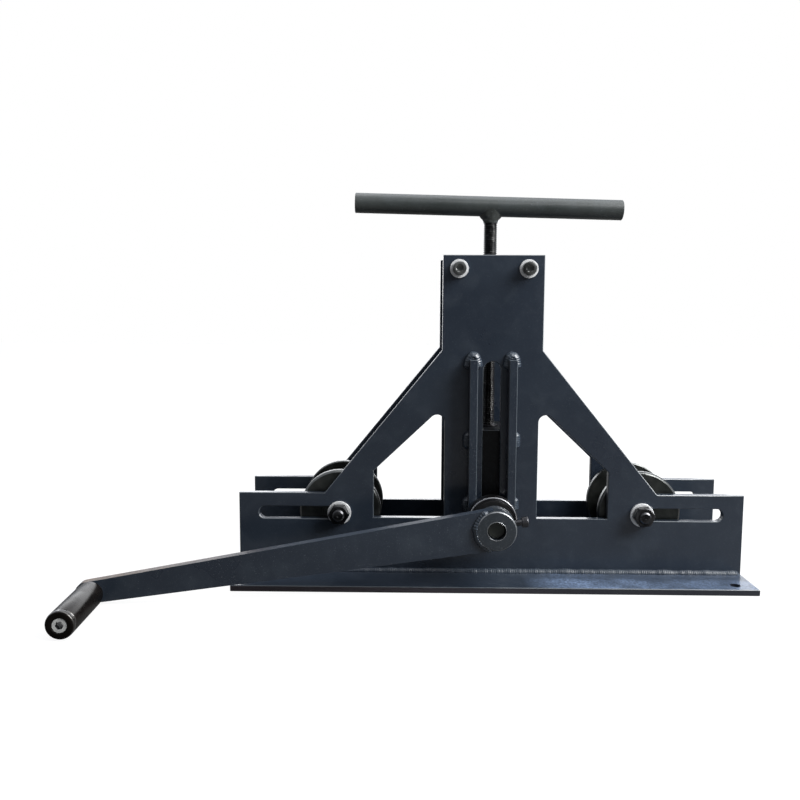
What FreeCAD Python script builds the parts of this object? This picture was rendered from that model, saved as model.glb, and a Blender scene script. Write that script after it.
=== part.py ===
import FreeCAD, Part
import math
import os
import re

import Sketcher

# Manual ring roller: two slotted side plates on a base, two plain rollers on sliding axles,
# and a cranked drive roller that a hand screw presses down between them.
# X runs along the base, Y from the crank side (-) to the back (+), Z up.
# The origin is the centre of the base's underside.

SIZES = (
    # base and side plates, heights taken from the plates' bottom edge
    ("plate_length", 500, "side plates and base, end to end"),
    ("plate_thick", 8, "side plate"),
    ("plate_gap", 72, "room between the side plates"),
    ("base_thick", 6, "base plate"),
    ("flange_width", 47, "base that stands out beyond each side plate"),
    ("strip_height", 79.5, "low strip of the side plate"),
    ("tower_height", 313.5, "top of the side plate"),
    ("tower_width", 98, "upright part of the side plate"),
    ("kink_height", 221.5, "where the braces leave the tower"),
    ("brace_foot", 329, "between the outer feet of the two braces"),
    ("column_width", 92, "upright between the two windows"),
    ("window_span", 232, "between the outer sides of the two windows"),
    ("window_floor", 54.8, "lower edge of the windows"),
    ("window_shoulder", 102, "top of the outer side of a window"),
    ("window_peak", 168.3, "sharp top corner of a window before rounding"),
    ("window_round", 7.5, "radius at the top corner of a window"),
    ("edge_break", 0.6, "chamfer along the cut edges of the plates"),
    ("mount_hole", 10, "bolt hole at each corner of the base"),
    ("mount_inset_x", 18.5, "hole centre from the end of the base"),
    ("mount_inset_y", 13, "hole centre from the long edge of the base"),
    ("weld_leg", 5, "fillet weld between side plate and base"),
    # rollers and axles
    ("axle_height", 59.5, "roller axles above the plates' bottom edge"),
    ("axle_span", 300, "between the two plain axles, pushed fully in"),
    ("axle_travel", 74, "outward slide of each plain axle"),
    ("axle_dia", 12, "axle bolt"),
    ("axle_slot", 12.5, "height of the axle slots"),
    ("roller_dia", 82, "flanges of all three rollers"),
    ("roller_width", 60, "plain roller over its flanges"),
    ("roller_setback", 1.5, "plain roller behind the front side plate"),
    ("flange_thick", 8, "flange of a plain roller"),
    ("drive_width", 48, "drive roller over its flanges"),
    ("drive_flange", 7, "flange of the drive roller"),
    ("core_dia", 50, "groove floor of the rollers"),
    ("spigot_dia", 36, "core spigot that a flange seats on"),
    ("rim_chamfer", 2, "outer edge of a flange"),
    ("bush_dia", 18, "bush pressed in a plain roller"),
    ("bush_length", 20, "bush of a plain roller"),
    ("run_clear", 0.05, "radial room of turning fits"),
    ("side_clear", 0.2, "end room of a plain roller"),
    ("axle_washer", 23.5, "axle washer"),
    ("axle_washer_thick", 2.5, "axle washer"),
    ("nut_flats", 18, "axle nut and bolt head across the flats"),
    ("nut_height", 10, "axle nut"),
    ("axle_head", 7.5, "axle bolt head"),
    ("axle_proud", 3, "axle bolt end beyond its nut"),
    ("axle_break", 1, "point of the axle bolt"),
    ("spacer_dia", 22, "axle spacers"),
    ("drive_spacer_dia", 26, "spacer behind the drive roller"),
    # drive shaft, its slots, guide bars and bearings
    ("shaft_dia", 17, "drive shaft"),
    ("shaft_break", 1, "ends of the shaft"),
    ("shaft_stub", 3, "shaft beyond its rear circlip"),
    ("shaft_slot_clear", 0.25, "room each side of the shaft in its slot"),
    ("lift_travel", 142, "rise of the drive roller"),
    ("slot_end_room", 0.75, "slot beyond the shaft at both ends of the rise"),
    ("rib_gap", 30, "between the two guide bars on a plate"),
    ("rib_thick", 8, "guide bar"),
    ("rib_depth", 15, "guide bar, out from the plate"),
    ("rib_bottom", 53.5, "lower end of the guide bars"),
    ("rib_top", 213, "upper end of the guide bars"),
    ("rib_weld", 6, "bead around the guide bars"),
    ("rib_weld_rise", 9.5, "bead above the guide bars"),
    ("rib_weld_length", 16, "side beads of the guide bars"),
    ("rib_weld_mid", 132, "height of the middle side beads"),
    ("rib_weld_low", 69.5, "height of the low side beads"),
    ("bearing_dia", 47, "shaft bearing"),
    ("bearing_width", 14, "shaft bearing"),
    ("bearing_ring", 3.1, "wall of the bearing rings"),
    ("bearing_break", 0.8, "outer edges of a bearing"),
    ("bearing_stand", 1, "bearing beyond the guide bars"),
    ("seal_thick", 1.2, "bearing seal"),
    ("seal_sunk", 0.5, "seal behind the bearing's face"),
    ("ball_clear", 0.3, "room between a ball and its rings"),
    ("seal_clear", 0.3, "room between a seal and the inner ring"),
    ("balls", 7, "balls in each bearing"),
    ("clip_dia", 23, "circlip"),
    ("clip_thick", 1.2, "circlip"),
    ("clip_groove", 0.5, "depth of the circlip groove"),
    ("key_size", 5, "square key of the drive roller"),
    ("key_sunk", 3, "keyway in the shaft"),
    ("key_length", 36, "key of the drive roller"),
    # yoke that carries the drive shaft
    ("cheek_thick", 6, "yoke cheek"),
    ("cheek_width", 60, "yoke cheek"),
    ("cheek_clear", 1, "cheek inside the side plate"),
    ("cheek_rise", 82.5, "top of the yoke above the shaft"),
    ("cheek_drop", 22, "foot of the yoke below the shaft"),
    ("head_height", 30, "yoke head block"),
    ("shaft_bush_dia", 24, "shaft bush in a cheek"),
    ("drive_end_clear", 0.5, "drive roller beside the cheek or spacer"),
    ("yoke_screw", 6, "countersunk screw of the yoke"),
    ("yoke_screw_head", 12, "its head"),
    ("yoke_screw_sink", 3.3, "its cone"),
    ("yoke_screw_length", 20, "over its head"),
    ("yoke_screw_span", 40, "between the two screws of a cheek"),
    # press screw, nut block and bar
    ("block_width", 90, "nut block between the plates"),
    ("block_height", 25, "nut block"),
    ("top_bolt_span", 67, "between the two cap screws of a side"),
    ("top_bolt_drop", 13.2, "cap screws below the top edge"),
    ("bolt_dia", 8, "cap screws"),
    ("bolt_clear", 0.5, "radial room of the cap screws in the plates"),
    ("bolt_length", 25, "cap screws of the nut block"),
    ("cap_dia", 13, "cap screw head"),
    ("cap_height", 8, "cap screw head"),
    ("cap_socket", 6, "hexagon in a cap screw head"),
    ("cap_socket_depth", 4.5, "hexagon in a cap screw head"),
    ("bolt_washer", 18, "washer under a cap screw"),
    ("bolt_washer_thick", 2, "washer under a cap screw"),
    ("screw_dia", 14, "press screw"),
    ("bar_rise", 51, "bar centre above the plates' top, roller pressed fully down"),
    ("bar_offset", 2.4, "middle of the bar to the left of the screw"),
    ("bar_saddle", 2.2, "screw let into the underside of the bar"),
    ("journal_dia", 10, "turned end of the press screw"),
    ("thrust_dia", 20, "thrust washer and end collar"),
    ("thrust_thick", 2, "thrust washer"),
    ("collar_height", 8, "end collar"),
    ("collar_room", 1, "room round the end collar"),
    ("bar_dia", 20, "cross bar"),
    ("bar_length", 268.5, "cross bar"),
    ("bar_chamfer", 0.5, "ends of the cross bar"),
    ("bar_tilt", 1.45, "degrees that the bar is welded out of square"),
    ("flare_height", 9.5, "weld under the bar"),
    ("flare_drop", 6.3, "weld below the bar's underside"),
    ("flare_wall", 0.5, "weld around the screw at its lower edge"),
    ("flare_dia", 28, "weld along the bar"),
    ("flare_depth", 22, "weld across the bar"),
    # crank
    ("hub_dia", 37, "crank hub"),
    ("hub_length", 25, "crank hub"),
    ("hub_chamfer", 1, "crank hub"),
    ("hub_spacer", 12, "spacer between bearing and hub"),
    ("hub_spacer_dia", 25, "spacer between bearing and hub"),
    ("shaft_recess", 6, "shaft end inside the hub's face"),
    ("crank_length", 370.6, "hub centre to grip centre"),
    ("crank_lean", 4, "degrees that the arm leans outward"),
    ("arm_thick", 10, "crank arm"),
    ("arm_setback", 5, "arm behind the hub's face"),
    ("arm_root", 38.6, "width of the arm at the hub"),
    ("arm_tip", 20, "width of the arm at the grip"),
    ("arm_beyond", 5, "straight part of the arm beyond the grip"),
    ("hub_weld", 4, "bead between hub and arm"),
    ("hub_weld_inset", 1.5, "bead behind the hub's face"),
    ("hub_weld_toe", 1, "bead above the arm at its outer edge"),
    ("hub_weld_sweep", 150, "degrees that the bead runs round the hub"),
    ("grip_rest", 12.1, "grip centre above the bench, grip resting on it"),
    ("grip_dia", 24, "grip"),
    ("grip_length", 80, "grip"),
    ("grip_round", 2.5, "edge of the grip"),
    ("grip_clear", 0.08, "radial room of the grip on its bolt"),
    ("grip_washer", 18, "washer between arm and grip"),
    ("grip_washer_thick", 1.5, "washer between arm and grip"),
    ("grip_bolt_dia", 10, "shoulder that the grip turns on"),
    ("grip_head", 12, "head of the grip bolt"),
    ("grip_head_height", 6, "head of the grip bolt"),
    ("grip_head_sunk", 0.6, "head below the end of the grip"),
    ("grip_head_clear", 0.3, "radial room of that head in the grip"),
    ("set_dia", 6, "set screw in the hub"),
    ("set_head_dia", 10, "its head"),
    ("set_head_height", 6, "its head"),
    ("set_socket", 5, "hexagon in its head"),
    ("set_socket_depth", 3.5, "hexagon in its head"),
    ("set_screw_offset", 5, "set screw from the hub's inner face"),
    ("set_screw_length", 17, "set screw under its head"),
)

doc = FreeCAD.newDocument("ring_roller")
sheet = doc.addObject("Spreadsheet::Sheet", "sizes")
for row, (alias, value, note) in enumerate(SIZES, start=1):
    sheet.set("A%d" % row, note)
    sheet.set("B%d" % row, str(value))
    sheet.setAlias("B%d" % row, alias)
doc.recompute()

# Places worked out from the sizes, as text that the expressions below share.
ALIASES = {alias for alias, value, note in SIZES}
OUTER = "(plate_gap / 2 + plate_thick)"
AXLE_Z = "(base_thick + axle_height)"
TOP_Z = "(base_thick + tower_height)"
GROOVE_Y = "(-plate_gap / 2 + roller_setback + roller_width / 2)"
ROLLER_BACK = "(-plate_gap / 2 + roller_setback + roller_width)"
CHEEK_IN = "(plate_gap / 2 - cheek_clear - cheek_thick)"
YOKE_TOP = "(base_thick + axle_height + cheek_rise)"
RIB_Y = "(plate_gap / 2 + plate_thick + rib_depth)"
BEARING_IN = "(plate_gap / 2 + plate_thick + rib_depth + bearing_stand)"
BEARING_OUT = "(%s + bearing_width)" % BEARING_IN
HUB_IN = "(%s + hub_spacer)" % BEARING_OUT
HUB_OUT = "(%s + hub_length)" % HUB_IN
ARM_FRONT = "(%s - arm_setback)" % HUB_OUT
CRANK_DROP = "asin((%s - grip_rest) / (crank_length * cos(crank_lean)))" % AXLE_Z

X_AXIS = FreeCAD.Vector(1, 0, 0)
Y_AXIS = FreeCAD.Vector(0, 1, 0)
Z_AXIS = FreeCAD.Vector(0, 0, 1)
ALONG = {
    "X": FreeCAD.Rotation(Y_AXIS, 90),
    "Y": FreeCAD.Rotation(X_AXIS, -90),
    "Z": FreeCAD.Rotation(),
}
nodes = []


def linked(words):
    """The expression text with the sheet's name before each size."""
    return re.sub(r"[a-z][a-z_]*", lambda m: ("sizes." if m.group() in ALIASES else "") + m.group(), words)


def size(alias):
    return float(sheet.get(alias))


def bind(item, links):
    for path, words in links.items():
        item.setExpression(path, linked(words))
    return item


def place(item, at, turn=None):
    if turn is not None:
        item.Placement = FreeCAD.Placement(FreeCAD.Vector(), turn)
    for axis, words in zip("xyz", at):
        item.setExpression("Placement.Base." + axis, linked(words))
    return item


def node(item):
    """Marks a finished piece: its label names the file that it is written to."""
    nodes.append(item)
    return item


# ---- solids from Part primitives ----

def cylinder(label, diameter, length, at=("0", "0", "0"), along="Y"):
    item = doc.addObject("Part::Cylinder", label)
    bind(item, {"Radius": "(%s) / 2" % diameter, "Height": length})
    return place(item, at, ALONG[along])


def box(label, length, width, height, at):
    item = doc.addObject("Part::Box", label)
    bind(item, {"Length": length, "Width": width, "Height": height})
    return place(item, at)


def hexagon(label, flats, length, at, along="Y"):
    item = doc.addObject("Part::Prism", label)
    item.Polygon = 6
    bind(item, {"Circumradius": "(%s) / 2 / cos(30)" % flats, "Height": length})
    return place(item, at, ALONG[along])


def cone(label, low, high, length, at, along="Y"):
    item = doc.addObject("Part::Cone", label)
    bind(item, {"Radius1": "(%s) / 2" % low, "Radius2": "(%s) / 2" % high, "Height": length})
    return place(item, at, ALONG[along])


def cut(label, base, *tools):
    for number, tool in enumerate(tools):
        last = number == len(tools) - 1
        step = doc.addObject("Part::Cut", label if last else label + "_step")
        step.Base = base
        step.Tool = tool
        base = step
    return base


def fuse(label, *pieces):
    item = doc.addObject("Part::MultiFuse", label)
    item.Shapes = list(pieces)
    item.Refine = True
    return item


def group(label, pieces):
    item = doc.addObject("Part::Compound", label)
    item.Links = list(pieces)
    return item


def ring(label, outer, inner, length, at, along="Y"):
    """A plain washer, spacer or bush."""
    return cut(label, cylinder(label + "_blank", outer, length, at, along),
               cylinder(label + "_bore", inner, length, at, along))


# ---- solids from sketches ----

def new_body(label, at=("0", "0", "0"), turn=None):
    body = doc.addObject("PartDesign::Body", label)
    return place(body, at, turn)


def new_sketch(body, name, role):
    plane = [item for item in body.Origin.OriginFeatures if item.Role == role][0]
    sketch = body.newObject("Sketcher::SketchObject", name)
    sketch.AttachmentSupport = [(plane, "")]
    sketch.MapMode = "FlatFace"
    return sketch


def pin_point(sketch, edge, end, x, y):
    for kind, words in (("DistanceX", x), ("DistanceY", y)):
        number = sketch.addConstraint(Sketcher.Constraint(kind, -1, 1, edge, end, 1.0))
        sketch.setExpression("Constraints[%d]" % number, linked(words))


def outline(sketch, corners):
    """A closed outline of straight lines, each corner held by its own two places."""
    count = len(corners)
    start = sketch.GeometryCount
    rough = [FreeCAD.Vector(math.cos(2 * math.pi * n / count), math.sin(2 * math.pi * n / count), 0)
             for n in range(count)]
    for n in range(count):
        sketch.addGeometry(Part.LineSegment(rough[n], rough[(n + 1) % count]), False)
    for n in range(count):
        sketch.addConstraint(Sketcher.Constraint("Coincident", start + n, 2, start + (n + 1) % count, 1))
    for n, (x, y) in enumerate(corners):
        pin_point(sketch, start + n, 1, x, y)
    return sketch


def circle(sketch, x, y, diameter):
    edge = sketch.addGeometry(Part.Circle(FreeCAD.Vector(), Z_AXIS, 1.0), False)
    number = sketch.addConstraint(Sketcher.Constraint("Diameter", edge, 2.0))
    sketch.setExpression("Constraints[%d]" % number, linked(diameter))
    pin_point(sketch, edge, 3, x, y)
    return sketch


def pad(body, sketch, length):
    item = body.newObject("PartDesign::Pad", sketch.Label + "_pad")
    item.Profile = sketch
    bind(item, {"Length": length})
    sketch.Visibility = False
    return item


def pocket(body, sketch):
    """Cuts the sketch right through the body, both ways from its plane."""
    before = body.Tip
    item = body.newObject("PartDesign::Pocket", sketch.Label + "_cut")
    item.Profile = sketch
    item.Type = "ThroughAll"
    item.Midplane = True
    doc.recompute()
    if item.Shape.Volume >= before.Shape.Volume:
        raise RuntimeError(sketch.Label + " cuts nothing")
    return item


def turned(label, profile, at=("0", "0", "0"), turn=None):
    """A turned piece about its own Y axis; the profile is (radius, place along Y)."""
    body = new_body(label, at, turn)
    sketch = outline(new_sketch(body, label + "_profile", "XY_Plane"), profile)
    item = body.newObject("PartDesign::Revolution", label + "_turned")
    item.Profile = sketch
    item.ReferenceAxis = (sketch, ["V_Axis"])
    item.Angle = 360
    return body


def chamfer_flat_edges(body, axis, places, length):
    """Breaks every edge that lies in one of the flat faces at the given places."""
    doc.recompute()
    tip = body.Tip
    names = []
    for number, edge in enumerate(tip.Shape.Edges, start=1):
        spread = [getattr(vertex.Point, axis) for vertex in edge.Vertexes]
        box_of = edge.BoundBox
        flat = getattr(box_of, axis.upper() + "Length") < 1e-6
        if flat and any(abs(spread[0] - where) < 1e-6 for where in places):
            names.append("Edge%d" % number)
    item = body.newObject("PartDesign::Chamfer", body.Label + "_edges")
    item.Base = (tip, names)
    bind(item, {"Size": length})
    return item


def slot_sketch(sketch, x_low, x_high, y_low, y_high, diameter):
    """The straight middle of a slot, upright or level."""
    upright = x_low == x_high
    half = "(%s) / 2" % diameter
    if upright:
        corners = [(x_low + " - " + half, y_low), (x_low + " + " + half, y_low),
                   (x_low + " + " + half, y_high), (x_low + " - " + half, y_high)]
    else:
        corners = [(x_low, y_low + " - " + half), (x_high, y_low + " - " + half),
                   (x_high, y_low + " + " + half), (x_low, y_low + " + " + half)]
    return outline(sketch, corners)


def cut_slot(body, name, ends, diameter):
    """A round-ended slot through a plate, between two end centres."""
    (x_low, y_low), (x_high, y_high) = ends
    pocket(body, slot_sketch(new_sketch(body, name, "XZ_Plane"), x_low, x_high, y_low, y_high, diameter))
    for number, (x, y) in enumerate(ends):
        pocket(body, circle(new_sketch(body, "%s_end_%d" % (name, number), "XZ_Plane"), x, y, diameter))


def mirrored_x(corners):
    return [("-(%s)" % x, y) for x, y in reversed(corners)]


# ---- base and side plates ----

def make_base():
    """One flat plate under both side plates, with a bolt hole at each corner."""
    body = new_body("base_plate")
    x = "plate_length / 2"
    y = "(%s + flange_width)" % OUTER
    corners = [("-" + x, "-" + y), (x, "-" + y), (x, y), ("-" + x, y)]
    pad(body, outline(new_sketch(body, "base_outline", "XY_Plane"), corners), "base_thick")
    chamfer_flat_edges(body, "z", (0, size("base_thick")), "edge_break")
    holes = new_sketch(body, "base_holes", "XY_Plane")
    for side_x in ("-", ""):
        for side_y in ("-", ""):
            circle(holes, "%s(%s - mount_inset_x)" % (side_x, x), "%s(%s - mount_inset_y)" % (side_y, y),
                   "mount_hole")
    pocket(body, holes)
    node(body)


def make_side_plate(label, front_y):
    """A laser-cut plate: low strip, braced tower, two windows, three slots and two bolt holes."""
    body = new_body(label, ("0", front_y, "base_thick"))
    right = [("plate_length / 2", "0"), ("plate_length / 2", "strip_height"), ("brace_foot / 2", "strip_height"),
             ("tower_width / 2", "kink_height"), ("tower_width / 2", "tower_height")]
    pad(body, outline(new_sketch(body, label + "_outline", "XZ_Plane"), right + mirrored_x(right)), "plate_thick")

    window = [("column_width / 2", "window_floor"), ("window_span / 2", "window_floor"),
              ("window_span / 2", "window_shoulder"), ("column_width / 2", "window_peak")]
    for side, corners in (("right", window), ("left", mirrored_x(window))):
        pocket(body, outline(new_sketch(body, "%s_%s_window" % (label, side), "XZ_Plane"), corners))
    doc.recompute()
    plate = body.Tip
    peaks = []
    for number, edge in enumerate(plate.Shape.Edges, start=1):
        middle = edge.BoundBox.Center
        if abs(middle.z - size("window_peak")) < 1e-6 and edge.BoundBox.YLength > size("plate_thick") / 2:
            peaks.append("Edge%d" % number)
    rounds = body.newObject("PartDesign::Fillet", label + "_window_tops")
    rounds.Base = (plate, peaks)
    bind(rounds, {"Radius": "window_round"})

    for side, sign in (("left", "-"), ("right", "")):
        inner = sign + "(axle_span / 2)"
        outer = sign + "(axle_span / 2 + axle_travel)"
        cut_slot(body, "%s_%s_slot" % (label, side), ((inner, "axle_height"), (outer, "axle_height")), "axle_slot")
    low = ("0", "(axle_height - slot_end_room)")
    high = ("0", "(axle_height + lift_travel + slot_end_room)")
    cut_slot(body, label + "_shaft_slot", (low, high), "(shaft_dia + 2 * shaft_slot_clear)")
    bolts = new_sketch(body, label + "_bolt_holes", "XZ_Plane")
    for side in ("-", ""):
        circle(bolts, side + "top_bolt_span / 2", "tower_height - top_bolt_drop", "bolt_dia + 2 * bolt_clear")
    pocket(body, bolts)
    chamfer_flat_edges(body, "y", (0, -size("plate_thick")), "edge_break")
    node(body)


def make_base_welds():
    """A fillet bead along the outer foot of each side plate, from end to end."""
    beads = []
    for side, turn in (("front", FreeCAD.Rotation(Z_AXIS, 180)), ("back", FreeCAD.Rotation())):
        sign = "-" if side == "front" else ""
        body = new_body(side + "_base_bead", ("0", sign + OUTER, "base_thick"), turn)
        corners = [("0", "0"), ("weld_leg", "0"), ("0", "weld_leg")]
        sketch = outline(new_sketch(body, side + "_bead_section", "YZ_Plane"), corners)
        item = pad(body, sketch, "plate_length - 2 * edge_break")
        item.Midplane = True
        beads.append(body)
    node(group("base_welds", beads))


# ---- guide bars ----

def make_guide_bars():
    """Flat bars on edge beside each shaft slot; they stiffen the slotted plates."""
    for face, near in (("front", "-" + RIB_Y), ("rear", OUTER)):
        for side in ("left", "right"):
            x = "rib_gap / 2" if side == "right" else "-rib_gap / 2 - rib_thick"
            bar = box("%s_%s_guide_bar" % (face, side), "rib_thick", "rib_depth", "rib_top - rib_bottom",
                      (x, near, "base_thick + rib_bottom"))
            node(bar)


def make_guide_welds():
    """Round bead over the top of each bar and two short beads down its outer side."""
    beads = []
    for face in ("front", "rear"):
        near = "(-%s - rib_weld)" % OUTER if face == "front" else OUTER
        for side, sign in (("left", "-"), ("right", "")):
            tag = "%s_%s" % (face, side)
            centre = sign + "(rib_gap / 2 + rib_thick / 2)"
            left_edge = "rib_gap / 2" if side == "right" else "-rib_gap / 2 - rib_thick"
            bar = box(tag + "_bar_room", "rib_thick", "2 * rib_weld", "rib_top",
                      (left_edge, near + " - rib_weld / 2", "base_thick"))
            cap = cylinder(tag + "_cap", "rib_thick + 2 * rib_weld", "rib_weld",
                           (centre, near, "base_thick + rib_top + rib_weld_rise - rib_thick / 2 - rib_weld"))
            beads.append(cut(tag + "_top_bead", cap, bar))
            for spot in ("rib_weld_mid", "rib_weld_low"):
                edge = sign + "(rib_gap / 2 + rib_thick)"
                body = new_body(tag + "_" + spot, (edge, "-" + OUTER if face == "front" else OUTER,
                                                   "base_thick + %s - rib_weld_length / 2" % spot))
                x = sign + "weld_leg"
                y = ("-" if face == "front" else "") + "weld_leg"
                sketch = outline(new_sketch(body, tag + "_" + spot + "_section", "XY_Plane"),
                                 [("0", "0"), (x, "0"), ("0", y)])
                pad(body, sketch, "rib_weld_length")
                beads.append(body)
    node(group("guide_bar_welds", beads))


# ---- nut block and its screws ----

BLOCK_SCREW = ("bolt_dia", "bolt_length", "cap_dia", "cap_height", "cap_socket", "cap_socket_depth")
SET_SCREW = ("set_dia", "set_screw_length", "set_head_dia", "set_head_height", "set_socket", "set_socket_depth")


def cap_screw(label, names, at, turn):
    """Socket head cap screw: head from the origin along +Z, shank along -Z."""
    shank_dia, length, head_dia, head_height, flats, depth = names
    head = cylinder(label + "_head", head_dia, head_height, along="Z")
    shank = cylinder(label + "_shank", shank_dia, length, ("0", "0", "-" + length), "Z")
    socket = hexagon(label + "_socket", flats, depth, ("0", "0", "%s - %s" % (head_height, depth)), "Z")
    screw = cut(label, fuse(label + "_blank", head, shank), socket)
    return place(screw, at, turn)


def make_nut_block():
    """Steel block bolted between the towers; the press screw runs in its thread."""
    body = new_body("nut_block", ("0", "0", "%s - block_height" % TOP_Z))
    x = "block_width / 2"
    y = "plate_gap / 2"
    pad(body, outline(new_sketch(body, "block_outline", "XY_Plane"),
                      [("-" + x, "-" + y), (x, "-" + y), (x, y), ("-" + x, y)]), "block_height")
    pocket(body, circle(new_sketch(body, "block_thread", "XY_Plane"), "0", "0", "screw_dia + 2 * run_clear"))
    bolts = new_sketch(body, "block_bolts", "XZ_Plane")
    for side in ("-", ""):
        circle(bolts, side + "top_bolt_span / 2", "block_height - top_bolt_drop", "bolt_dia")
    pocket(body, bolts)
    node(body)

    screws = []
    washers = []
    for face, sign, turn in (("front", "-", FreeCAD.Rotation(X_AXIS, 90)), ("rear", "", FreeCAD.Rotation(X_AXIS, -90))):
        for side, side_sign in (("left", "-"), ("right", "")):
            tag = "%s_%s" % (face, side)
            x = side_sign + "top_bolt_span / 2"
            z = TOP_Z + " - top_bolt_drop"
            seat = "%s(%s + bolt_washer_thick)" % (sign, OUTER)
            screws.append(cap_screw("block_screw_" + tag, BLOCK_SCREW, (x, seat, z), turn))
            start = seat if face == "front" else OUTER
            washers.append(ring("block_washer_" + tag, "bolt_washer", "bolt_dia", "bolt_washer_thick", (x, start, z)))
    node(group("nut_block_screws", screws))
    node(group("nut_block_washers", washers))


# ---- press screw ----

def make_press_screw():
    """Threaded rod with a turned lower end that spins in the yoke, and a welded cross bar."""
    shoulder = YOKE_TOP + " + thrust_thick"
    bar_z = "(%s + bar_rise)" % TOP_Z
    rod_length = "(%s - bar_dia / 2 + bar_saddle - (%s))" % (bar_z, shoulder)
    journal = "head_height + thrust_thick"
    rod = cylinder("rod", "screw_dia", rod_length, ("0", "0", shoulder), "Z")
    end = cylinder("rod_end", "journal_dia", journal, ("0", "0", YOKE_TOP + " - head_height"), "Z")
    bar_room = cylinder("bar_room", "bar_dia", "bar_length", along="X")
    tilt = FreeCAD.Rotation(Y_AXIS, 90 + size("bar_tilt"))
    half_x = "-(bar_length / 2 + bar_offset) * cos(bar_tilt)"
    half_z = "%s + (bar_length / 2 + bar_offset) * sin(bar_tilt)" % bar_z
    place(bar_room, (half_x, "0", half_z), tilt)
    node(cut("press_screw", fuse("rod_blank", rod, end), bar_room))

    bar = new_body("cross_bar", (half_x, "0", half_z), tilt)
    sketch = outline(new_sketch(bar, "bar_profile", "XZ_Plane"),
                     [("0", "0"), ("bar_dia / 2 - bar_chamfer", "0"), ("bar_dia / 2", "bar_chamfer"),
                      ("bar_dia / 2", "bar_length - bar_chamfer"),
                      ("bar_dia / 2 - bar_chamfer", "bar_length"), ("0", "bar_length")])
    spin = bar.newObject("PartDesign::Revolution", "bar_turned")
    spin.Profile = sketch
    spin.ReferenceAxis = (sketch, ["V_Axis"])
    spin.Angle = 360
    node(bar)

    flare = cone("flare_blank", "screw_dia + 2 * flare_wall", "flare_dia", "flare_height",
                 ("0", "0", "%s - bar_dia / 2 - flare_drop" % bar_z), "Z")
    screw_room = cylinder("screw_room", "screw_dia", rod_length, ("0", "0", shoulder), "Z")
    bar_copy = cylinder("bar_copy", "bar_dia", "bar_length", along="X")
    place(bar_copy, (half_x, "0", half_z), tilt)
    foot = "%s - bar_dia / 2 - flare_height" % bar_z
    sides = [box("flare_%s_room" % face, "2 * flare_dia", "flare_dia", "2 * flare_height", ("-flare_dia", y, foot))
             for face, y in (("front", "-flare_depth / 2 - flare_dia"), ("rear", "flare_depth / 2"))]
    node(cut("cross_bar_weld", flare, screw_room, bar_copy, *sides))

    node(ring("thrust_washer", "thrust_dia", "journal_dia + 2 * run_clear", "thrust_thick", ("0", "0", YOKE_TOP), "Z"))
    node(ring("screw_end_collar", "thrust_dia", "journal_dia", "collar_height",
              ("0", "0", YOKE_TOP + " - head_height"), "Z"))


# ---- yoke ----

def countersunk(label, at, turn):
    """Countersunk screw: flat of the head at the origin, shank along -Z."""
    head = cone(label + "_head", "yoke_screw", "yoke_screw_head", "yoke_screw_sink",
                ("0", "0", "-yoke_screw_sink"), "Z")
    shank = cylinder(label + "_shank", "yoke_screw", "yoke_screw_length", ("0", "0", "-yoke_screw_length"), "Z")
    return place(fuse(label, head, shank), at, turn)


def make_yoke():
    """Two cheeks screwed to a head block: the press screw pushes the head, the cheeks hold the shaft."""
    screws = []
    screw_z = YOKE_TOP + " - head_height / 2"
    cheeks = (("front", "-", FreeCAD.Rotation(X_AXIS, 90)), ("rear", "", FreeCAD.Rotation(X_AXIS, -90)))
    for face, sign, turn in cheeks:
        start = "-%s - cheek_thick" % CHEEK_IN if face == "front" else CHEEK_IN
        blank = box(face + "_cheek_blank", "cheek_width", "cheek_thick", "cheek_rise + cheek_drop",
                    ("-cheek_width / 2", start, AXLE_Z + " - cheek_drop"))
        bore = cylinder(face + "_cheek_bore", "shaft_bush_dia", "cheek_thick", ("0", start, AXLE_Z))
        holes = []
        for side, side_sign in (("left", "-"), ("right", "")):
            outer_face = "%s(%s + cheek_thick)" % (sign, CHEEK_IN)
            at = (side_sign + "yoke_screw_span / 2", outer_face, screw_z)
            screws.append(countersunk("yoke_screw_%s_%s" % (face, side), at, turn))
            holes.append(countersunk("yoke_hole_%s_%s" % (face, side), at, turn))
        node(cut("yoke_%s_cheek" % face, blank, bore, *holes))
    node(group("yoke_screws", screws))

    head = box("head_blank", "cheek_width", "2 * " + CHEEK_IN, "head_height",
               ("-cheek_width / 2", "-" + CHEEK_IN, YOKE_TOP + " - head_height"))
    bore = cylinder("head_bore", "journal_dia + 2 * run_clear", "head_height",
                    ("0", "0", YOKE_TOP + " - head_height"), "Z")
    pocket_low = cylinder("collar_room_cut", "thrust_dia + 2 * collar_room", "collar_height + run_clear",
                          ("0", "0", YOKE_TOP + " - head_height"), "Z")
    taps = []
    for face, sign, turn in cheeks:
        for side, side_sign in (("left", "-"), ("right", "")):
            at = (side_sign + "yoke_screw_span / 2", "%s(%s + cheek_thick)" % (sign, CHEEK_IN), screw_z)
            taps.append(countersunk("yoke_tap_%s_%s" % (face, side), at, turn))
    node(cut("yoke_head", head, bore, pocket_low, *taps))

    bushes = []
    for face in ("front", "rear"):
        start = "-%s - cheek_thick" % CHEEK_IN if face == "front" else CHEEK_IN
        bushes.append(ring(face + "_shaft_bush", "shaft_bush_dia", "shaft_dia + 2 * run_clear", "cheek_thick",
                           ("0", start, AXLE_Z)))
    node(group("shaft_bushes", bushes))


# ---- shaft bearings ----

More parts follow.
